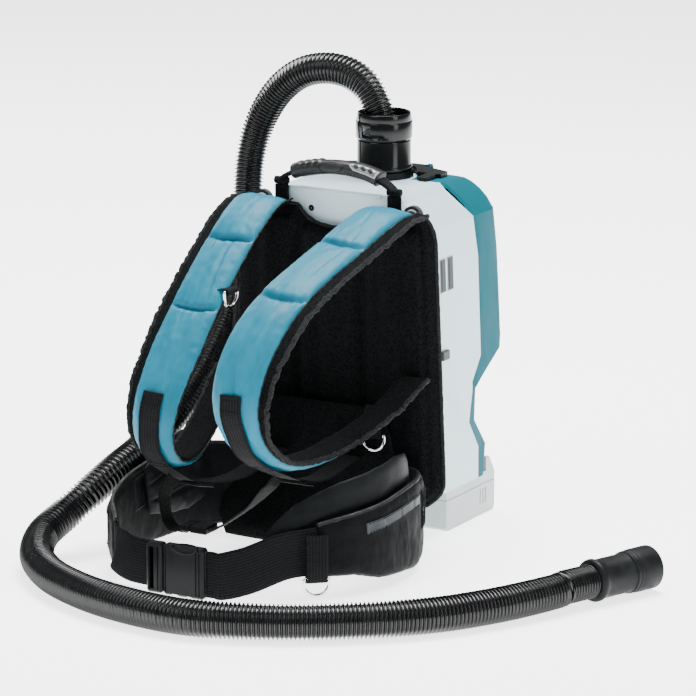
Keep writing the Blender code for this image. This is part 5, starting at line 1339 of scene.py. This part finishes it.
# for each ring: its tab's path as (out, up) from the ring's bar, and the way that out points
TABS = (("belt", (0.66, -0.75, 0.0), ((0.0052, 0.046), (0.006, 0.03), (0.0058, 0.012), (0.0036, -0.0005),
                                      (0.0, -0.003), (-0.0036, -0.0005), (-0.0056, 0.012))),
        ("hip_right", (0.0, -1.0, 0.0), ((-0.003, 0.03), (0.001, 0.016), (0.0032, 0.004), (0.0024, -0.0024),
                                         (0.0, -0.003))),
        ("hip_left", (0.0, -1.0, 0.0), ((-0.002, 0.034), (0.0022, 0.018), (0.0034, 0.004), (0.0024, -0.0024),
                                        (0.0, -0.003))),
        ("strap", (1.0, 0.0, 0.0), ((-0.015, 0.001), (-0.006, 0.0022), (0.0, 0.0028), (0.0028, 0.001),
                                    (0.0022, -0.0024), (-0.006, -0.0028))))


def make_rings():
    for name, centre, side in RINGS:
        side, centre = Vector(side).normalized(), place(*centre)
        path = [centre + side * (RING_R * (1 - 2 * step / 8)) for step in range(9)][::-1]
        path += [centre + side * (RING_R * math.cos(t)) - UP * (0.004 + RING_R * math.sin(t))
                 for t in (math.pi * step / 36 for step in range(37))]
        ring = tube(f"ring_{name}", resample(path + path[:1], 97)[:-1], RING_WIRE_R, 16, loop=True)
        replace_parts(finish(ring, f"ring_{name}", "chrome"), f"d_ring_{name}")
    for name, out, path in TABS:
        _, centre, side = next(row for row in RINGS if row[0] == name)
        out = Vector(out).normalized()
        points = [place(*centre) + out * away + UP * rise for away, rise in path]
        ribbon(f"tab_{name}", frames_along(points, 60, tuple(side)), 0.0215, 0.0014)


def make_buckles():
    front, top = BUCKLE_DEPTH - BUCKLE_THICK / 2, BUCKLE_Z + BUCKLE_TALL / 2

    def groove(x, tall=0.044):
        return box(f"cut_groove_{round(x * 1e5)}", place(x, front, BUCKLE_Z), (0.0014, 0.0024, tall))

    def body_details(obj):
        cut(obj, groove(BUCKLE_X + BUCKLE_HALF - 0.0042), groove(BUCKLE_X + BUCKLE_HALF - 0.008),
            groove(BUCKLE_X - BUCKLE_HALF + 0.004, 0.05))
        for x, reach in ((-0.01, 0.0075), (0.006, 0.0055)):
            spot = place(BUCKLE_X + x, front - 0.002, BUCKLE_Z - BUCKLE_TALL / 2 - reach * 0.75)
            disc = [(reach, 0.0), (reach, 0.017), (0.001, 0.017), (0.001, 0.0)]
            cut(obj, turned("cut_scallop", spot, Vector((0, 1, 0)), disc, 40))

    def tongue_details(obj):
        cut(obj, groove(BUCKLE_X - BUCKLE_HALF - 0.0052), groove(BUCKLE_X - BUCKLE_HALF - 0.015))
    soften("buckle_body", 0.0009, 3, 30.0, body_details)
    soften("buckle_tongue", 0.0009, 3, 30.0, tongue_details)
    soften("chest_buckle_body", 0.0009, 3)
    soften("chest_buckle_tongue", 0.0009, 3)
    path = []
    for turn in turns(64):
        rise = math.sin(turn)
        spot = place(BUCKLE_X + 0.002 + 0.0145 * math.cos(turn), front - 0.0003, top + 0.007 * min(rise, 0))
        path.append(spot + Vector((0, 0.009 * max(rise, 0), 0.0003)))
    finish(tube("buckle_release", path, 0.001, 10, loop=True), "machine", "black_plastic")
    for name, _ in SIDES:
        soften(f"strap_adjuster_{name}", 0.0007, 3)


# ---------------------------------------------------------------- service cover and lower trim
WAIST_Z = 0.146
SKIN_WALL = 0.0024
HINGE_DEPTH = 0.1005
HINGE_R = 0.004
HINGE_MIDDLE = 0.026
HINGE_HALF = 0.07
# height, half width, depth of the seam, depth of the skin, radius of its corner, bulge past the housing
COVER_LEVELS = (
    (WAIST_Z, 0.1071, 0.0915, 0.1005, 0.002, 0.0),
    (0.1535, 0.1065, 0.0918, 0.1146, 0.004, 0.0),
    (0.177, 0.1045, 0.114, 0.1625, 0.008, 0.0),
    (0.19, 0.1041, 0.1138, 0.1662, 0.011, 0.0002),
    (0.232, 0.103, 0.1129, 0.1675, 0.016, 0.0006),
    (0.284, 0.1015, 0.112, 0.1668, 0.019, 0.0008),
    (0.312, 0.0995, 0.108, 0.1645, 0.019, 0.001),
    (0.326, 0.0985, 0.106, 0.163, 0.019, 0.0012),
    (0.338, 0.0876, 0.0998, 0.1605, 0.018, 0.0052),
    (0.346, 0.0804, 0.0956, 0.157, 0.017, 0.0062),
    (0.353, 0.074, 0.092, 0.151, 0.015, 0.006),
    (0.3575, 0.0712, 0.0898, 0.144, 0.013, 0.004),
    (0.3602, 0.0695, 0.0884, 0.134, 0.011, 0.0018),
    (0.3612, 0.069, 0.088, 0.12, 0.008, 0.0),
)


def cover_ring(height, inset=0.0, back=0.0003):
    """Plan outline of the cover from the housing's seam round its full corners."""
    half, seam, outer, radius, bulge = level_at(COVER_LEVELS, height)
    half, outer, radius = half - inset, outer - inset, max(radius - inset, 0.001)
    full = half + bulge
    side = [(half, seam + back), (half + bulge * 0.7, seam + 0.006 + max(back, 0.0)), (full, outer - radius)]
    side += [(full - radius * (1 - math.cos(t)), outer - radius * (1 - math.sin(t)))
             for t in (math.pi / 2 * step / 8 for step in range(1, 9))]
    return [place(x, depth, height) for x, depth in side + [(-x, depth) for x, depth in reversed(side)]]


def hinge_pin_shape(name, first, last, radius):
    """A rod along the cover's hinge line."""
    path = [place(first + (last - first) * step / 8, HINGE_DEPTH, WAIST_Z) for step in range(9)]
    return tube(name, path, radius, 24)


def make_cover():
    levels = [row[0] for row in COVER_LEVELS]
    cover = loft("cover_shell", [cover_ring(z) for z in levels])
    room = [levels[0] + SKIN_WALL] + levels[1:-2] + [levels[-1] - SKIN_WALL]
    inside = loft("cut_room", [cover_ring(z, SKIN_WALL, -0.03) for z in room])
    inlet = turned("cut_inlet", place(0, INLET_DEPTH, 0.3), UP,
                   [(0.0005, 0.0), (0.0351, 0.0), (0.0351, 0.1), (0.0005, 0.1)], 64)
    cut(cover, inside, inlet, hinge_pin_shape("cut_knuckle", -HINGE_MIDDLE - 0.0006, HINGE_MIDDLE + 0.0006,
                                              HINGE_R + 0.0003))
    bevel(finish(cover, "cover", "teal_plastic"), 0.001, 2, 20.0)
    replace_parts(cover, "front_cover")
    heights = [0.179] + [z for z in levels if 0.18 < z < 0.345] + [0.347]
    rings = []
    for z in heights:
        half, _, outer, _, bulge = level_at(COVER_LEVELS, z)
        half = min(half - 0.018 + bulge, half - 0.014)
        side = ((half, outer - 0.0012), (half - 0.0004, outer + 0.0018), (half - 0.0016, outer + 0.0028))
        rings.append([place(x, depth, z) for x, depth in side + tuple((-x, d) for x, d in reversed(side))])
    panel = bevel(finish(loft("panel_plate", rings), "cover", "white_plastic"), 0.001, 3, 25.0)
    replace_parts(panel, "cover_panel")
    for name, side in SIDES:
        first, last = side * (HINGE_MIDDLE + 0.0009), side * HINGE_HALF
        finish(hinge_pin_shape(f"cover_knuckle_{name}", first, last, HINGE_R), "cover", "teal_plastic")
        ear = [(-0.005, 0.354), (0.005, 0.354), (0.0046, 0.366), (0.003, 0.369), (0.0, 0.3698),
               (-0.003, 0.369), (-0.0046, 0.366)]
        rings = [[place(side * 0.0326 + x, 0.134 + depth, z) for depth, z in ear] for x in (-0.002, 0.002)]
        bevel(finish(loft(f"latch_ear_{name}", rings), "cover", "teal_plastic"), 0.0005, 2)


TRIM_LEVELS = ((0.046, 0.104, 0.126), (0.08, 0.1045, 0.13), (0.112, 0.1045, 0.1), (0.1461, 0.1045, 0.1005))


def make_trim():
    """The lower trim with upright sides and a small corner, so that its side shows."""
    trim = copy_of("lower_trim")
    for vertex in trim.data.vertices:
        depth = vertex.co.y - BACK_Y
        if vertex.co.z > TRIM_LEVELS[-1][0] or abs(vertex.co.x) < 0.085:
            continue
        half, outer = level_at(TRIM_LEVELS, vertex.co.z)
        side = math.copysign(1.0, vertex.co.x)
        if abs(abs(vertex.co.x) - half) < 0.0004:
            vertex.co.x += side * bulge_at(vertex.co.z)
        elif abs(abs(vertex.co.x) - (half - 0.005)) < 0.0004:
            vertex.co.x = side * (half - 0.0004 + bulge_at(vertex.co.z))
            vertex.co.y += min(0.006, (outer - depth) * 0.6)
        elif abs(depth - outer) < 0.0006:
            vertex.co.x = side * (half - 0.0046)
    bevel(finish(trim, "machine", "teal_plastic"), 0.0012, 3, 12.0)
    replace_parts(trim, "lower_trim")


def make_latch():
    """The lever that holds the cover: a slim bow round the inlet with two hooked arms."""
    latch = copy_of("cover_latch")
    for vertex in latch.data.vertices:
        reach = abs(vertex.co.x)
        depth = vertex.co.y - BACK_Y
        if vertex.co.z > 0.365 and (reach > 0.04 or depth < 0.118):
            vertex.co.z -= 0.0016 + 0.001 * min(max((0.118 - depth) / 0.03, 0.0), 1.0)
    bevel(finish(latch, "latch", "black_plastic"), 0.0012, 3, 25.0)
    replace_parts(latch, "cover_latch")


# ---------------------------------------------------------------- housing and its fittings
# heights with the housing's half width, and with what its sides stand out
SIDE_LEVELS = ((0.146, 0.1045), (0.177, 0.1045), (0.284, 0.1015), (0.326, 0.0985), (0.353, 0.074))
SIDE_BULGE = ((0.0, 0.0), (0.08, 0.0), (0.112, 0.0026), (0.146, 0.0026), (0.177, 0.0))
VENT_DEPTHS = (0.0345, 0.0505)
VENT_Z = (0.2585, 0.2945)
EAR = (0.088, -0.0062, 0.3445)
VENT_LAYERS = (                  # name, depth from the vent's middle, half depth, inset, lift, look, corner
    ("vent_frame", 0.0, 0.0066, 0.0, 0.0007, "pale_grey", 0.0008),
    ("vent", 0.0, 0.0054, 0.0012, 0.0011, "vent_grey", 0.0004),
    ("louvre", -0.0022, 0.001, 0.0035, 0.0015, "grey_plastic", 0.0003),
)
# turned outlines: (radius, distance along the axis)
EYELET = ((0.0044, 0.0), (0.0072, 0.0), (0.007, 0.0014), (0.0062, 0.002), (0.005, 0.0019), (0.0044, 0.0012))
SCREW = ((0.0004, -0.001), (0.003, -0.001), (0.0034, 0.0), (0.003, 0.0004), (0.0022, 0.0002),
         (0.0004, 0.0001))
# the lip along the housing's top edge: (depth, height)
TOP_LIP = ((0.002, 0.357), (-0.0012, 0.3574), (-0.0014, 0.3596), (-0.0002, 0.3613), (0.004, 0.3616))
FORWARD = Vector((0, -1, 0))


def side_plate(name, side, depth, half_deep, low, high, lift, look, soft):
    """A plate that lies on the housing's side wall, with rounded edges."""
    rings = []
    for z in (low, high):
        outer, inner = (side * (level_at(SIDE_LEVELS, z)[0] + out) for out in (lift, -0.001))
        ring = [place(x, d, z) for x, d in ((outer, depth - half_deep), (outer, depth + half_deep),
                                            (inner, depth + half_deep), (inner, depth - half_deep))]
        rings.append(ring if side > 0 else ring[::-1])
    return bevel(finish(loft(name, rings), "machine", "grey_plastic", look), soft, 3)


def bulge_at(height):
    """How far the housing's sides stand out round the waist, as shallow facets."""
    return level_at(SIDE_BULGE, height)[0]


def bulge_sides(obj):
    for vertex in obj.data.vertices:
        if abs(vertex.co.x) > 0.0905:
            vertex.co.x += math.copysign(bulge_at(vertex.co.z), vertex.co.x)


def make_machine():
    soften("main_housing", 0.0016, 3, 2.0, bulge_sides)
    make_cover()
    make_trim()
    make_latch()
    for name, side in SIDES:
        for index, depth in enumerate(VENT_DEPTHS):
            for layer, away, half, inset, lift, look, soft in VENT_LAYERS:
                plate = side_plate(f"{layer}_{name}_{index}", side, depth + away, half, VENT_Z[0] + inset,
                                   VENT_Z[1] - inset, lift, look, soft)
                if layer == "vent" and index == 0:
                    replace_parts(plate, f"side_vent_{name}")
        side_plate(f"side_lug_{name}", side, 0.035, 0.007, 0.1885, 0.1985, 0.003, "grey_plastic", 0.0012)
        soften(f"battery_{name}", 0.002, 3, 25.0, battery_grooves(side))
        x, depth, z = EAR
        eyelet = turned(f"eyelet_{name}", place(side * x, depth + 0.0002, z), FORWARD, EYELET, 48)
        finish(eyelet, "machine", "grey_plastic", "pale_grey")
        finish(turned(f"screw_{name}", place(side * 0.033, 0.0, 0.34), FORWARD, SCREW, 32), "machine",
               "black_plastic")
    lip = [[place(x, d, z) for d, z in TOP_LIP] for x in (0.049, 0.044, -0.044, -0.049)]
    bevel(finish(loft("top_lip", lip), "machine", "white_plastic"), 0.0007, 3)


def battery_grooves(side):
    """Cuts a joint line round a battery pack and two finger grooves into its outer side."""
    def details(obj):
        middle, width = side * 0.06, 0.0375
        cut(obj, box("cut_line_side", place(middle + side * width, 0.106, 0.033), (0.0016, 0.12, 0.0009)),
            box("cut_line_back", place(middle, 0.053, 0.033), (0.08, 0.0016, 0.0009)),
            box("cut_upright", place(middle - 0.016, 0.053, 0.02), (0.001, 0.0016, 0.026)))
        for row in range(3):
            cut(obj, box(f"cut_finger_{row}", place(middle + side * width, 0.128 + row * 0.006, 0.02),
                         (0.0022, 0.0024, 0.017)))
    return details


dress_nodes()
make_camera()
make_studio()
make_hose()
make_soft_goods()
for strip in WING_STRIPS:
    wing_strip(*strip)
make_handle()
make_coupler()
make_rings()
make_buckles()
make_machine()
